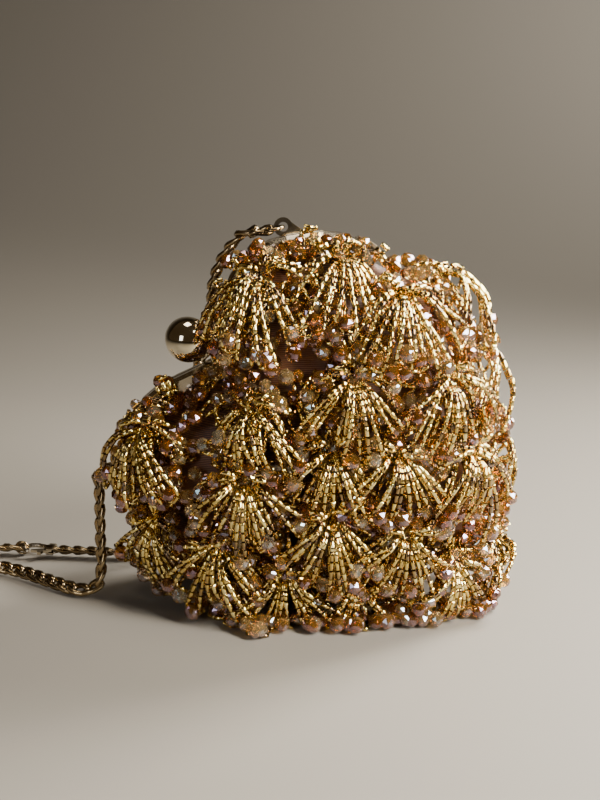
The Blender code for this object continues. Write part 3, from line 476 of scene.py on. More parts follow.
def chain_link():
    """One curb link: an oval of round wire, twisted so that a row of them lies flat."""
    around, sides = 14, 6
    verts = []
    for k in range(around):
        angle = 2 * math.pi * k / around
        z = LINK_HALF_LENGTH * math.sin(angle)
        x = LINK_HALF_WIDTH * math.copysign(abs(math.cos(angle)) ** 0.8, math.cos(angle))
        centre = Vector((x, 0.0, z))
        out = Vector((math.cos(angle) * LINK_HALF_LENGTH, 0.0, math.sin(angle) * LINK_HALF_WIDTH)).normalized()
        roll = Matrix.Rotation(LINK_TWIST * z / (2 * LINK_HALF_LENGTH), 3, "Z")
        for s in range(sides):
            turn = 2 * math.pi * s / sides
            verts.append(roll @ (centre + (out * math.cos(turn) + Vector((0.0, math.sin(turn), 0.0))) * LINK_WIRE))
    faces = []
    for k in range(around):
        for s in range(sides):
            a, b = k * sides + s, k * sides + (s + 1) % sides
            c, d = ((k + 1) % around) * sides + s, ((k + 1) % around) * sides + (s + 1) % sides
            faces.append((a, b, d, c))
    made = mesh_object("chain_link", verts, faces)
    made.data.shade_smooth()
    return made


# Geometry Nodes trees

def group_tree(name, sockets):
    """A new geometry tree with its named inputs."""
    tree = bpy.data.node_groups.new(name, "GeometryNodeTree")
    tree.interface.new_socket("Geometry", in_out="INPUT", socket_type="NodeSocketGeometry")
    for label, kind in sockets:
        tree.interface.new_socket(label, in_out="INPUT", socket_type=kind)
    tree.interface.new_socket("Geometry", in_out="OUTPUT", socket_type="NodeSocketGeometry")
    return tree, add(tree, "NodeGroupInput")


def finish_tree(tree, start, instances):
    """Give each instance its own tone, make them real and set their material."""
    tone = add(tree, "FunctionNodeRandomValue", {"data_type": "FLOAT"}, {"Seed": start.outputs["Seed"]})
    marked = add(tree, "GeometryNodeStoreNamedAttribute", {"data_type": "FLOAT", "domain": "INSTANCE"},
                 {"Geometry": instances, "Name": "tone", "Value": tone.outputs["Value"]})
    real = add(tree, "GeometryNodeRealizeInstances", None, {"Geometry": marked.outputs["Geometry"]})
    painted = add(tree, "GeometryNodeSetMaterial", None,
                  {"Geometry": real.outputs["Geometry"], "Material": start.outputs["Material"]})
    add(tree, "NodeGroupOutput", None, {"Geometry": painted.outputs["Geometry"]})


def string_tree():
    """Pieces threaded along curves, one at each pitch, turned along the curve."""
    tree, start = group_tree("strung_along_a_line", [
        ("Piece", "NodeSocketObject"), ("Pitch", "NodeSocketFloat"), ("Spread", "NodeSocketFloat"),
        ("Seed", "NodeSocketInt"), ("Material", "NodeSocketMaterial")])
    points = add(tree, "GeometryNodeCurveToPoints", {"mode": "LENGTH"},
                 {"Curve": start.outputs["Geometry"], "Length": start.outputs["Pitch"]})
    piece = add(tree, "GeometryNodeObjectInfo", None, {"Object": start.outputs["Piece"]})
    least = add(tree, "ShaderNodeMath", {"operation": "SUBTRACT"}, {0: 1.0, 1: start.outputs["Spread"]})
    most = add(tree, "ShaderNodeMath", {"operation": "ADD"}, {0: 1.0, 1: start.outputs["Spread"]})
    size = add(tree, "FunctionNodeRandomValue", {"data_type": "FLOAT"},
               {"Min": least.outputs[0], "Max": most.outputs[0], "Seed": start.outputs["Seed"]})
    placed = add(tree, "GeometryNodeInstanceOnPoints", None, {
        "Points": points.outputs["Points"], "Instance": piece.outputs["Geometry"],
        "Rotation": points.outputs["Rotation"], "Scale": size.outputs["Value"]})
    finish_tree(tree, start, placed.outputs["Instances"])
    return tree


def scatter_tree():
    """Pieces set on points, each turned at random and sized by the point's own size."""
    tree, start = group_tree("set_on_points", [
        ("Piece", "NodeSocketObject"), ("Seed", "NodeSocketInt"), ("Material", "NodeSocketMaterial")])
    points = add(tree, "GeometryNodeMeshToPoints", None, {"Mesh": start.outputs["Geometry"]})
    piece = add(tree, "GeometryNodeObjectInfo", None, {"Object": start.outputs["Piece"]})
    turn = add(tree, "FunctionNodeRandomValue", {"data_type": "FLOAT_VECTOR"},
               {"Min": (0.0, 0.0, 0.0), "Max": (2 * math.pi, 2 * math.pi, 2 * math.pi),
                "Seed": start.outputs["Seed"]})
    size = add(tree, "GeometryNodeInputNamedAttribute", {"data_type": "FLOAT"}, {"Name": "size"})
    placed = add(tree, "GeometryNodeInstanceOnPoints", None, {
        "Points": points.outputs["Points"], "Instance": piece.outputs["Geometry"],
        "Rotation": turn.outputs["Value"], "Scale": size.outputs["Attribute"]})
    finish_tree(tree, start, placed.outputs["Instances"])
    return tree


STRING_TREE = string_tree()
SCATTER_TREE = scatter_tree()


def grow(obj, tree, values, name):
    """Run a geometry tree on an object with its named inputs, and return the plain mesh."""
    change = obj.modifiers.new("grow", "NODES")
    change.node_group = tree
    for item in tree.interface.items_tree:
        if item.in_out == "INPUT" and item.name in values:
            change[item.identifier] = values[item.name]
    return finished(obj, name)


# The pouch's surface

def both_sides(half):
    """Mirror a right-hand line of points and join both into one line, left end to right end."""
    return [Vector((-p.x, p.y)) for p in reversed(half)][:-1] + half


def inset(line, amount):
    """Move an open line of points sideways, towards the inside of the heart."""
    out = []
    for i, point in enumerate(line):
        along = (line[min(i + 1, len(line) - 1)] - line[max(i - 1, 0)]).normalized()
        out.append(point + Vector((along.y, -along.x)) * amount)
    return out


def pouch_outline():
    """The pouch's outline, the share by which each point is drawn in by the frame, and if it is open there."""
    mouth = inset(both_sides(smooth_line([Vector(p) * MM for p in FRAME_HALF], 8)), FABRIC_INSET)
    right = smooth_line([mouth[-1]] + [Vector(p) * MM for p in LOWER_HALF], 6)
    lower = right[1:] + [Vector((-p.x, p.y)) for p in reversed(right[1:-1])]
    last = len(lower) - 1
    fade = 12
    out = [(p, 1.0, True) for p in mouth]
    for i, point in enumerate(lower):
        out.append((point, max(1.0 - (min(i, last - i) + 1) / fade, 0.0), False))
    return out, lower


OUTLINE, LOWER_LINE = pouch_outline()


def outline_at(x, z):
    """Distance from the pouch's centre to its outline in the direction of a point, and the mouth share."""
    ray = Vector((x, z)) - CENTRE
    angle = math.atan2(ray.y, ray.x)
    ray = Vector((math.cos(angle), math.sin(angle)))
    count = len(OUTLINE)
    for i in range(count):
        a = OUTLINE[i][0] - CENTRE
        b = OUTLINE[(i + 1) % count][0] - CENTRE
        start = math.atan2(a.y, a.x)
        span = (start - math.atan2(b.y, b.x)) % (2 * math.pi)
        part = (start - angle) % (2 * math.pi)
        if part <= span + 1e-9:
            edge = b - a
            reach = (a.x * edge.y - a.y * edge.x) / (ray.x * edge.y - ray.y * edge.x)
            share = part / max(span, 1e-9)
            return reach, OUTLINE[i][1] * (1 - share) + OUTLINE[(i + 1) % count][1] * share
    return 1.0, 0.0


def half_depth(inward, reach, mouth):
    """Half thickness of the pouch at a distance inward from its outline."""
    share = min(max(1 - inward / reach, 0.0), 1.0)
    full = POUCH_HALF_DEPTH * math.sqrt(max(1 - share ** BULGE_POWER, 0.0))
    spread = math.sin(math.pi / 2 * min(max((inward - NECK_START) / NECK_LENGTH, 0.0), 1.0))
    neck = SLOT_FACE + max(full - SLOT_FACE, 0.0) * spread
    return full * (1 - mouth) + neck * mouth


def depth_at(x, z):
    """Half thickness of the pouch at a point of the heart, or less than nothing outside it."""
    reach, mouth = outline_at(x, z)
    away = math.hypot(x - CENTRE.x, z - CENTRE.y)
    return reach - away if away > reach else half_depth(reach - away, reach, mouth)


def face_spot(x, z, side):
    """A point just clear of the pouch's face, and the outward direction there, in the heart's frame."""
    step = 4 * MM
    slope_x = (depth_at(x + step, z) - depth_at(x - step, z)) / (2 * step)
    slope_z = (depth_at(x, z + step) - depth_at(x, z - step)) / (2 * step)
    flat = Vector((-slope_x, -slope_z))
    if flat.length > STEEPEST:
        flat = flat.normalized() * STEEPEST
    normal = Vector((flat.x, side, flat.y)).normalized()
    return Vector((x, side * depth_at(x, z), z)) + normal * TUFT_CLEAR, normal


def edge_spot(x, z):
    """A point just clear of the pouch's side seam nearest to (x, z), and the outward direction there."""
    best = min(range(len(LOWER_LINE)), key=lambda i: (LOWER_LINE[i] - Vector((x, z))).length)
    spot = LOWER_LINE[best]
    along = (LOWER_LINE[min(best + 3, len(LOWER_LINE) - 1)] - LOWER_LINE[max(best - 3, 0)]).normalized()
    normal = Vector((-along.y, 0.0, along.x))
    if normal.dot(Vector((spot.x - CENTRE.x, 0.0, spot.y - CENTRE.y))) < 0:
        normal = -normal
    return Vector((spot.x, 0.0, spot.y)) + normal * TUFT_CLEAR, normal


def cloth_half(name, side, sunk, thick, first_inset, material):
    """One side of the pouch as a thick sheet: rings from the outline to the middle, with soft gathers."""
    rings = 26
    verts, weave, faces, rows = [], [], [], []
    for ring in range(rings):
        share = (ring / (rings - 1)) ** 1.15
        row = []
        for i, (point, mouth, _) in enumerate(OUTLINE):
            reach = (point - CENTRE).length
            start = first_inset if mouth > 0 else sunk * 0.6
            inward = start + (reach - start) * share * 0.985
            spot = point + (CENTRE - point) * (inward / reach)
            gather = 0.35 * MM * mouth * math.sin(i * 1.9) * math.exp(-((inward - 9 * MM) / (7 * MM)) ** 2)
            depth = max(half_depth(inward, reach, mouth) - sunk - gather, 0.05 * MM)
            row.append(len(verts))
            verts.append(from_heart(spot.x, side * depth, spot.y))
            weave.append((spot.x * 0.82 + spot.y * 0.57, spot.y * 0.82 - spot.x * 0.57, side * depth))
        rows.append(row)
    count = len(OUTLINE)
    for outer, inner in zip(rows, rows[1:]):
        for i in range(count):
            j = (i + 1) % count
            face = (outer[i], outer[j], inner[j], inner[i])
            faces.append(face if side == 1 else face[::-1])
    faces.append(tuple(rows[-1]) if side == 1 else tuple(reversed(rows[-1])))
    made = mesh_object(name, verts, faces)
    data = made.data.attributes.new("weave", "FLOAT_VECTOR", "POINT")
    data.data.foreach_set("vector", [c for place in weave for c in place])
    wall = made.modifiers.new("wall", "SOLIDIFY")
    wall.thickness = thick
    wall.offset = -1.0
    done = finished(made, name, material)
    done.data.shade_smooth()
    return done


# Bead tufts

PROFILE = [(0.0, 0.5), (0.12, 0.84), (0.3, 1.0), (0.6, 0.95), (0.85, 0.74), (1.0, 0.56)]


def profile_height(share):
    """Height of a loop over the cloth, as a share of the tuft's height, at a share of its reach."""
    for (a, low), (b, high) in zip(PROFILE, PROFILE[1:]):
        if share <= b:
            return low + (high - low) * (share - a) / (b - a)
    return PROFILE[-1][1]


def loop_reach(turn):
    """How far a loop reaches: short uphill, longer to the sides and longest downhill."""
    up, side, down = LOOP_REACH
    cos = math.cos(turn)
    return side + (down - side if cos > 0 else side - up) * cos


class Tuft:
    """One tuft of bead loops that fan out from a stitched centre and hang downhill."""

    def __init__(self, name, spot, normal, seed):
        self.spot = spot
        self.normal = normal
        fall = DOWN - normal * DOWN.dot(normal)
        slope = fall.normalized() if fall.length > 0.05 else Vector((1.0, 0.0, 0.0))
        self.heart = spot + normal * TUFT_HEIGHT * 0.42 + slope * TUFT_DROP * 0.55
        self.free = min(max(DOWN.dot(normal), 0.0), 1.0)
        self.down = (slope + normal * 0.9 * self.free).normalized()
        self.across = normal.cross(slope)
        self.random = random.Random(seed)
        self.solid = self.read_solid(name)

    def read_solid(self, name):
        """A search tree of the tuft's solid, in the heart's frame."""
        mesh = frame["nodes"][name].data
        back = STAND.inverted()
        verts = [back @ v.co for v in mesh.vertices]
        return BVHTree.FromPolygons(verts, [tuple(p.vertices) for p in mesh.polygons])

    def fit(self, place, loose):
        """Pull a point back towards the face of the tuft's solid, give or take a share."""
        ray = place - self.heart
        hit = self.solid.ray_cast(self.heart, ray.normalized())
        if hit[0] is None or hit[3] * loose >= ray.length:
            return place
        return self.heart + ray.normalized() * hit[3] * loose

    def loop(self, turn, reach, lift, width, loose):
        """The line of one loop: out from the centre, round its tip and back."""
        steps = 14
        line = []
        shift = self.random.uniform(0.5, 1.6) * MM
        out = (self.down * math.cos(turn) + self.across * math.sin(turn)).normalized()
        along = self.normal.cross(out).normalized()
        sway = self.random.uniform(-2.5, 2.5) * MM
        sag = LOOP_SAG * self.random.uniform(0.4, 1.15) * abs(math.sin(turn)) + 2.0 * MM
        arch = self.random.uniform(-0.8, 2.0) * MM
        for sign in (1, -1):
            part = []
            for k in range(steps + 1):
                t = k / steps
                bend = math.pi / 2 * t
                share = math.sin(bend) ** 1.1
                side = width * (t / 0.8) ** 1.1 if t < 0.8 else width * math.sqrt(max(1 - ((t - 0.8) / 0.2) ** 2, 0.0))
                radius = shift + (reach - shift) * share
                place = self.spot + out * radius + along * (side * sign + sway * t * t)
                place += self.normal * (LOOP_HEIGHT * lift * profile_height(share) + arch * math.sin(math.pi * t))
                place += DOWN * sag * share * share
                part.append(self.fit(place, loose))
            line += part if sign == 1 else part[::-1][1:]
        return line

    def loops(self):
        """Lines of all loops, and the crystals within their tips as places with a size."""
        lines, crystals = [], []
        for k in range(LOOPS):
            base = 2 * math.pi * (k + self.random.uniform(-0.48, 0.48)) / LOOPS
            turn = base - 0.66 * math.sin(base)
            under = k % 2 == 1
            reach = loop_reach(turn) * self.random.uniform(0.64, 1.06) * (0.92 if under else 1.0)
            lift = self.random.uniform(0.3, 0.7) if under else self.random.uniform(0.85, 1.2)
            width = self.random.uniform(2.3, 3.5) * MM
            loose = 1.36 + 0.3 * max(math.cos(turn), 0.0) + 0.8 * self.free
            line = self.loop(turn, reach, lift, width, loose * self.random.uniform(0.84, 1.18))
            lines.append(line)
            middle = len(line) // 2
            tip = line[middle]
            inner = (line[middle - 4] + line[middle + 4]) / 2
            inward = (inner - tip).normalized()
            raised = self.normal * self.random.uniform(-0.6, 1.4) * MM
            crystals.append((tip + inward * CRYSTAL_RADIUS * 1.1 + raised, self.random.uniform(0.9, 1.1)))
            if self.random.random() < 0.6:
                shove = Vector([self.random.uniform(-2.0, 2.0) for _ in range(3)]) * MM
                crystals.append((tip - inward * CRYSTAL_RADIUS * 0.9 + shove, self.random.uniform(0.8, 1.05)))
        lift = self.normal * LOOP_HEIGHT * 0.55
        crystals.append((self.spot + lift + self.down * self.random.uniform(-2.5, 3.0) * MM, 0.85))
        return lines, crystals


def tufts_of(group, table, seed):
    """The tufts of one group, from its table of places."""
    out = []
    for i, (key, (x, z)) in enumerate(table.items()):
        if group == "edge":
            spot, normal = edge_spot(x * MM, z * MM)
        else:
            spot, normal = face_spot(x * MM, z * MM, -1 if group == "front" else 1)
        out.append(Tuft("tuft_%s_%s" % (group, key), spot, normal, seed + i))
    return out


def sewn_crystals(side, count, seed):
    """Crystals sewn to the cloth between the tufts, each clear of the others."""
    rng = random.Random(seed)
    out = []
    for _ in range(count * 6):
        x, z = rng.uniform(-56, 56) * MM, rng.uniform(-108, 2) * MM
        least = 8 * MM if z > -36 * MM else 4 * MM
        if len(out) == count or depth_at(x, z) < least:
            continue
        spot, normal = face_spot(x, z, side)
        lifted = spot + normal * rng.uniform(1.8, 8.0) * MM
        if all((lifted - other).length > 1.7 * CRYSTAL_RADIUS for other, _ in out):
            out.append((lifted, rng.uniform(0.8, 1.05)))
    return out


def seam_crystals(count, seed):
    """Crystals sewn along the pouch's narrow side below the frame, clear of each other and of the table."""
    rng = random.Random(seed)
    seam = [p for p in LOWER_LINE if p.y < -36 * MM]
    out = []
    for _ in range(count * 6):
        point = rng.choice(seam)
        across = rng.uniform(-0.68, 0.68)
        spot, normal = edge_spot(point.x, point.y)
        share = (1 - across ** 2) ** (1 / BULGE_POWER)
        centre = Vector((CENTRE.x, 0.0, CENTRE.y))
        spot = centre + (spot - centre) * share + Vector((0.0, across * POUCH_HALF_DEPTH, 0.0))
        normal = (normal + Vector((0.0, across, 0.0))).normalized()
        lifted = spot + normal * rng.uniform(1.8, 7.0) * MM
        clear = all((lifted - other).length > 1.7 * CRYSTAL_RADIUS for other, _ in out)
        if len(out) < count and clear and from_heart(*lifted).z > 7 * MM:
            out.append((lifted, rng.uniform(0.8, 1.05)))
    return out


def small_loops(side, count, seed):
    """Short loops sewn to the cloth between the tufts, which hang downhill close to it."""
    rng = random.Random(seed)
    lines = []
    while len(lines) < count:
        x, z = rng.uniform(-56, 56) * MM, rng.uniform(-108, 0) * MM
        if depth_at(x, z) < 9 * MM:
            continue
        spot, normal = face_spot(x, z, side)
        fall = (DOWN - normal * DOWN.dot(normal)).normalized()
        turn = rng.gauss(0.0, 0.9)
        out = fall * math.cos(turn) + normal.cross(fall) * math.sin(turn)
        along = normal.cross(out)
        reach, width, lift = rng.uniform(8.0, 13.0) * MM, rng.uniform(1.6, 2.8) * MM, rng.uniform(3.0, 7.0) * MM
        line = []
        for k in range(17):
            angle = 2 * math.pi * k / 16
            share = 0.5 - 0.5 * math.cos(angle)
            line.append(spot + out * reach * share + along * width * math.sin(angle)
                        + normal * (1.2 * MM + lift * math.sin(math.pi * min(share, 0.75))))
        lines.append(line)
    return lines


def rim_sprays(seed):
    """Short loops and crystals sewn below the front bar, which stand up over it along the heart's upper edge."""
    rng = random.Random(seed)
    rim = both_sides(smooth_line([Vector(p) * MM for p in FRAME_HALF], 12))
    lines, crystals = [], []
    walked = 0.0
    for before, here, after in zip(rim, rim[1:], rim[2:]):
        walked += (here - before).length
        if walked < RIM_STEP:
            continue
        walked = 0.0
        along = (after - before).normalized()
        out = Vector((-along.y, along.x))
        near_ball = abs(here.x) < BALL_ROOM
        for _ in range(1 if near_ball else 3):
            lean = math.radians(rng.uniform(-48.0, 48.0))
            way = out * math.cos(lean) + along * math.sin(lean)
            root = here - out * RIM_ROOT + along * rng.uniform(-2.0, 2.0) * MM
            reach = RIM_ROOT + (rng.uniform(-4.0, -2.0) if near_ball else rng.uniform(-1.0, 5.0)) * MM
            low = -depth_at(root.x, root.y) - 1.0 * MM
            high = min(low, -FRAME_GAP / 2 - BAR_WIDTH) - rng.uniform(1.2, 5.5) * MM
            width = rng.uniform(1.2, 2.4) * MM
            line = []
            for sign in (1, -1):
                part = []
                for k in range(9):
                    t = k / 8
                    side = sign * width * (t ** 0.75) * math.sqrt(max(1 - t ** 5, 0.0))
                    flat = root + way * reach * t + Vector((-way.y, way.x)) * side
                    rise = low + (high - low) * math.sin(math.pi / 2 * min(t * 1.5, 1.0))
                    part.append(Vector((flat.x, rise, flat.y)) + DOWN * 2.0 * MM * t * t)
                line += part if sign == 1 else part[::-1][1:]
            lines.append(line)
            tip = line[len(line) // 2]
            if rng.random() < 0.5:
                crystals.append((tip + Vector((0.0, rng.uniform(-1.0, 1.0) * MM, 0.0)), rng.uniform(0.65, 0.95)))
        flat = here - out * rng.uniform(1.0, 7.0) * MM
        high = min(-depth_at(flat.x, flat.y), -FRAME_GAP / 2 - BAR_WIDTH) - CRYSTAL_RADIUS * rng.uniform(1.05, 1.5)
        crystals.append((Vector((flat.x, high, flat.y)), rng.uniform(0.85, 1.05)))
    return lines, crystals


def clear_of_cloth(place, side):
    """A point of the front (side -1) or the back (side 1), moved out of the pouch if it lies within its cloth."""
    depth = depth_at(place.x, place.z)
    if depth <= 0:
        return place
    return Vector((place.x, side * max(side * place.y, depth + BUGLE_RADIUS + 0.2 * MM), place.z))


def bead_group(group, side, table, seed, strung, sewn):
    """All beads of one group of tufts: its tube beads and its crystals, with loops and crystals of its own."""
    lines, crystals = list(strung), list(sewn)
    for tuft in tufts_of(side, table, seed):
        made, tips = tuft.loops()
        lines += made
        crystals += tips
    if side != "edge":
        facing = -1 if side == "front" else 1
        lines = [[clear_of_cloth(p, facing) for p in line] for line in lines]
        crystals = [(clear_of_cloth(p, facing), size) for p, size in crystals]
    floor = (BUGLE_RADIUS + 0.05 * MM)
    world_lines = []
    for line in lines:
        places = [from_heart(*p) for p in line]
        world_lines.append([Vector((p.x, p.y + math.copysign(max(floor - p.z, 0.0), p.y), max(p.z, floor)))
                            for p in places])
    threads = curve_object("threads_" + group, world_lines)
    bugles = grow(threads, STRING_TREE, {
        "Piece": BUGLE, "Pitch": BUGLE_PITCH, "Spread": 0.05, "Seed": seed, "Material": BUGLE_GLASS},
        "tube_beads_" + group)
    places = [from_heart(*p) for p, _ in crystals]
    rest = CRYSTAL_RADIUS * 1.1
    spots = mesh_object("spots_" + group, [
        (p.x, p.y + math.copysign(max(rest - p.z, 0.0), p.y), max(p.z, rest)) for p in places], [])
    data = spots.data.attributes.new("size", "FLOAT", "POINT")
    data.data.foreach_set("value", [size for _, size in crystals])
    gems = grow(spots, SCATTER_TREE, {"Piece": CRYSTAL, "Seed": seed, "Material": CRYSTAL_GLASS},
                "crystal_beads_" + group)
    return bugles, gems


# Metal pieces

def merge(mesh):
    """Join doubled points and make the faces point outwards."""
    work = bmesh.new()
    work.from_mesh(mesh)
    bmesh.ops.remove_doubles(work, verts=work.verts, dist=0.002 * MM)
    bmesh.ops.recalc_face_normals(work, faces=work.faces)
    work.to_mesh(mesh)
    work.free()


def revolved(name, profile, start, end, steps, material):
    """A turned piece along the line from start to end, from a profile of distance along it and radius."""
    axis = (end - start).normalized()
    turn = axis.to_track_quat("Z", "Y").to_matrix()
    verts, faces = [], []
    for along, radius in profile:
        for k in range(steps):
            angle = 2 * math.pi * k / steps
            verts.append(start + turn @ Vector((radius * math.cos(angle), radius * math.sin(angle), along)))
    for level in range(len(profile) - 1):
        for k in range(steps):
            a, b = level * steps + k, level * steps + (k + 1) % steps
            faces.append((a, b, b + steps, a + steps))
    made = mesh_object(name, verts, faces)
    merge(made.data)
    made.data.shade_smooth()
    made.data.materials.append(material)
    return made


def joined(name, parts):
    """Several pieces as one mesh."""
    work = bmesh.new()
    material = parts[0].data.materials[0]
    for part in parts:
        work.from_mesh(part.data)
    mesh = bpy.data.meshes.new(name)
    work.to_mesh(mesh)
    work.free()
    mesh.materials.append(material)
    mesh.shade_smooth()
    for part in parts:
        bpy.data.objects.remove(part, do_unlink=True)
    made = bpy.data.objects.new(name, mesh)
    bpy.context.scene.collection.objects.link(made)
    return made


def polished_ball(name, node):
    """A polished ball on a short collared stem, where its solid is."""
    low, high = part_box(node)
    radius = (high.y - low.y) / 2
    centre = Vector((low.x + radius, (low.y + high.y) / 2, high.z - radius))
    up = TURN @ Vector((0.0, 0.0, 1.0))
    ends = sorted((v.co.dot(up), v.co.copy()) for v in frame["nodes"][node].data.vertices)
    ring = [spot for height, spot in ends if height < ends[0][0] + 0.1 * MM]
    foot = sum(ring, Vector()) / len(ring)
    sphere = [(radius - radius * math.cos(math.pi * k / 40), radius * math.sin(math.pi * k / 40)) for k in range(41)]
    ball = revolved("ball", sphere, centre - up * radius, centre, 56, BALL_METAL)
    neck = [(0.0, 0.0), (0.0, 2.3 * MM), (0.5 * MM, 2.5 * MM), (1.1 * MM, 2.3 * MM), (1.4 * MM, 1.6 * MM),
            (9.0 * MM, 1.6 * MM), (9.0 * MM, 0.0)]
    stem = revolved("stem", neck, foot, foot + up, 28, BALL_METAL)
    made = joined(name, [ball, stem])
    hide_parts(node)
    return made


def ring(name, centre, normal, radius, wire, material):
    """A closed wire ring."""
    around, sides = 40, 12
    turn = normal.to_track_quat("Z", "Y").to_matrix()
    verts, faces = [], []
    for k in range(around):
        angle = 2 * math.pi * k / around
        for side in range(sides):
            roll = 2 * math.pi * side / sides
            out = radius + wire * math.cos(roll)
            verts.append(centre + turn @ Vector((out * math.cos(angle), out * math.sin(angle), wire * math.sin(roll))))
            a, b = k * sides + side, k * sides + (side + 1) % sides
            c, d = (k + 1) % around * sides + side, (k + 1) % around * sides + (side + 1) % sides
            faces.append((a, c, d, b))
    made = mesh_object(name, verts, faces)
    made.data.shade_smooth()
    made.data.materials.append(material)
    return made


def node_centre(node):
    """The middle of a node's box."""
    low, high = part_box(node)
    return (low + high) / 2


# Chain


def coil_line():
    """A neat coil in two layers: clockwise inwards along the floor, up at the eye and outwards again."""
    line = []
    turns = (COIL_OUTER - COIL_INNER) / COIL_PITCH
    start = math.radians(-50.0)
    end = math.radians(58.0)
    total = 2 * math.pi * turns
    steps = 96
    for k in range(steps + 1):
        share = k / steps
        angle = start - total * share
        radius = COIL_OUTER - (COIL_OUTER - COIL_INNER) * share
        rise = max((share - 0.94) / 0.06, 0.0) * 0.5
        line.append((angle, radius, COIL_LOW + (COIL_HIGH - COIL_LOW) * rise))
    last = line[-1][0]
    total = (last - end) % (2 * math.pi) + 2 * math.pi * round(turns - 0.5)
    for k in range(1, steps + 1):
        share = k / steps
        radius = COIL_INNER + (COIL_OUTER - COIL_INNER) * share
        rise = 0.5 + min(share / 0.06, 1.0) * 0.5
        line.append((last - total * share, radius, COIL_LOW + (COIL_HIGH - COIL_LOW) * rise))
    return [COIL_CENTRE + Vector((r * math.cos(a), r * math.sin(a), h)) for a, r, h in line]


def ring_pull(hand):
    """The direction in which the chain pulls on an ear's ring, in the world."""
    x, z = RING_OUT[hand]
    return (TURN @ Vector((x, 0.0, z))).normalized()


def chain_start(hand, ring_middle):
    """The first two points of the chain that hangs from an ear's ring."""
    far = RING_RADIUS + RING_WIRE + FIT
    return [ring_middle + ring_pull(hand) * reach for reach in (far, far + 2.5 * MM)]


def chain_tilts(line):
    """The links' turn about the line at each point: level at its far end, and carried along without a twist."""
    tilts = []
    flat = Vector((0.0, 0.0, 1.0))
    for k in range(len(line) - 1, -1, -1):
        way = (line[min(k + 1, len(line) - 1)] - line[max(k - 1, 0)]).normalized()
        flat = (flat - way * flat.dot(way)).normalized()
        upright = Vector((0.0, 0.0, 1.0))
        upright = (upright - way * upright.dot(way)).normalized()
        tilts.append(math.atan2(way.dot(upright.cross(flat)), upright.dot(flat)) + LINK_LEAN)
    return tilts[::-1]


def chain_piece(name, line, nodes):
    """Curb links along a line, standing for the plain tubes."""
    curve = curve_object(name, [line])
    curve.data.twist_mode = "Z_UP"
    for point, tilt in zip(curve.data.splines[0].points, chain_tilts(line)):
        point.tilt = tilt
    made = grow(curve, STRING_TREE, {
        "Piece": LINK, "Pitch": LINK_PITCH, "Spread": 0.0, "Seed": 1, "Material": CHAIN_METAL}, name)
    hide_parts(*nodes)
    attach(made, "bag")
    return made


# Scene

make_camera()
make_stage()
make_lights()

BUGLE = bugle_bead()
CRYSTAL = crystal_bead()
LINK = chain_link()


def spread_between(piece):
    """Bake a piece of the front half's cloth or beads into its mesh, where it stands."""
    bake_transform(piece)


def dress_pouch():
    """Satin and lining, front and back."""
    back = cloth_half("satin_back", 1, 0.0, FABRIC, 0.4 * MM, SATIN)
    front = cloth_half("satin_front", -1, 0.0, FABRIC, 0.4 * MM, SATIN)
    inner_back = cloth_half("lining_back", 1, FABRIC + 0.4 * MM, 0.7 * MM, 4.6 * MM, LINING)
    inner_front = cloth_half("lining_front", -1, FABRIC + 0.4 * MM, 0.7 * MM, 4.6 * MM, LINING)
    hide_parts("pouch_satin")
    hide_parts("front_panel_satin")
    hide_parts("pouch_lining")
    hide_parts("front_panel_lining")
    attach(back, "bag")
    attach(inner_back, "bag")
    spread_between(front)
    spread_between(inner_front)


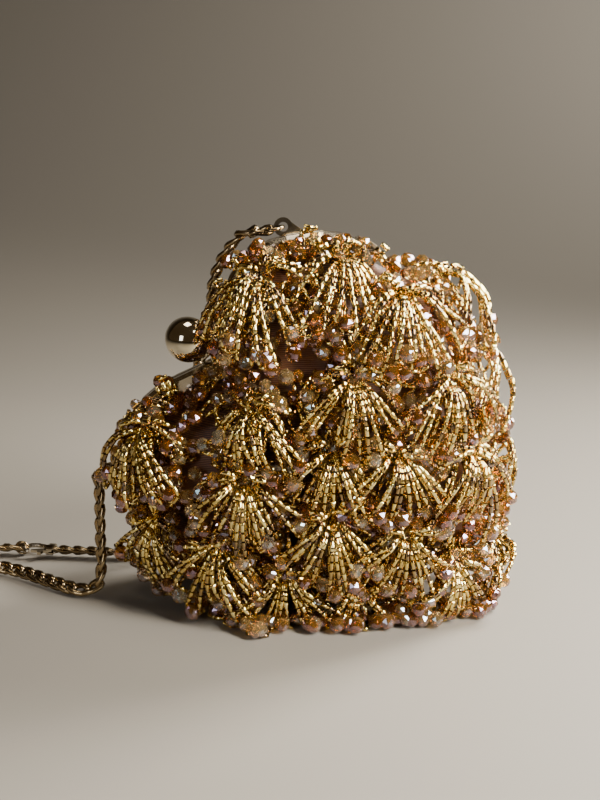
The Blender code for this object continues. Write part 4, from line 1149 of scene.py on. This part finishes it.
def dress_tufts():
    """Bead loops and crystals for every tuft."""
    rim_loops, rim_crystals = rim_sprays(37)
    upper = {key: TUFTS_FRONT[key] for key in "abcde"}
    lower = {key: place for key, place in TUFTS_FRONT.items() if key not in upper}
    for group, side, table, seed, strung, sewn in (
            ("front_upper", "front", upper, 11, rim_loops, rim_crystals),
            ("front_lower", "front", lower, 111, small_loops(-1, 105, 7), sewn_crystals(-1, 300, 5)),
            ("back", "back", TUFTS_BACK, 211, small_loops(1, 40, 8), sewn_crystals(1, 150, 6)),
            ("edge", "edge", TUFTS_EDGE, 411, [], seam_crystals(110, 9))):
        bugles, gems = bead_group(group, side, table, seed, strung, sewn)
        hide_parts(*["tuft_%s_%s" % (side, key) for key in table])
        for piece in (bugles, gems):
            if side == "front":
                spread_between(piece)
            else:
                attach(piece, "bag")


def dress_metal():
    """The frame, rivets, balls, ear rings and the clasp of the chain."""
    for node, look in (("frame_rear", FRAME_METAL), ("frame_front", FRAME_METAL),
                       ("hinge_rivet_left", RIVET_METAL), ("hinge_rivet_right", RIVET_METAL),
                       ("chain_clasp_body", FRAME_METAL), ("chain_clasp_lever", FRAME_METAL)):
        mesh = frame["nodes"][node].data
        mesh.materials.clear()
        mesh.materials.append(look)
    for side, body in (("rear", "bag"), ("front", "front_half")):
        ball = polished_ball("polished_ball_" + side, "clasp_ball_" + side)
        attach(ball, body)
    for hand, node in ((-1, "ear_ring_left"), (1, "ear_ring_right")):
        across = TURN @ Vector((0.0, 1.0, 0.0))
        made = ring("round_" + node, node_centre(node), ring_pull(hand).cross(across), RING_RADIUS, RING_WIRE,
                    CHAIN_METAL)
        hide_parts(node)
        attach(made, "bag")
    made = ring("round_clasp_ring", node_centre("chain_clasp_ring"), CLASP_ACROSS, CLASP_RING, CLASP_RING_WIRE,
                CHAIN_METAL)
    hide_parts("chain_clasp_ring")
    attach(made, "bag")
    return made


def dress_chain(clasp_ring):
    """The two lengths of chain: one from the right ear to the clasp, one from the clasp's ring to the left ear."""
    right = chain_start(1, node_centre("ear_ring_right")) + [Vector(p) * MM for p in ROUTE_RIGHT] + [CLASP_TAIL]
    line = smooth_line(right, 6)
    short = chain_piece("chain_short_length", line, ["chain_right"])
    tail = [CLASP_HEAD] + [Vector(p) * MM for p in ROUTE_TAIL]
    left = [Vector(p) * MM for p in ROUTE_LEFT][::-1]
    ear = chain_start(-1, node_centre("ear_ring_left"))[::-1]
    line = smooth_line(tail, 6)[:-1] + coil_line()[::-1] + smooth_line(left + ear, 6)
    long = chain_piece("chain_long_length", line, ["chain_tail", "chain_coil", "chain_left"])


dress_pouch()
dress_tufts()
dress_chain(dress_metal())
for bead in (BUGLE, CRYSTAL, LINK):
    bpy.data.objects.remove(bead, do_unlink=True)
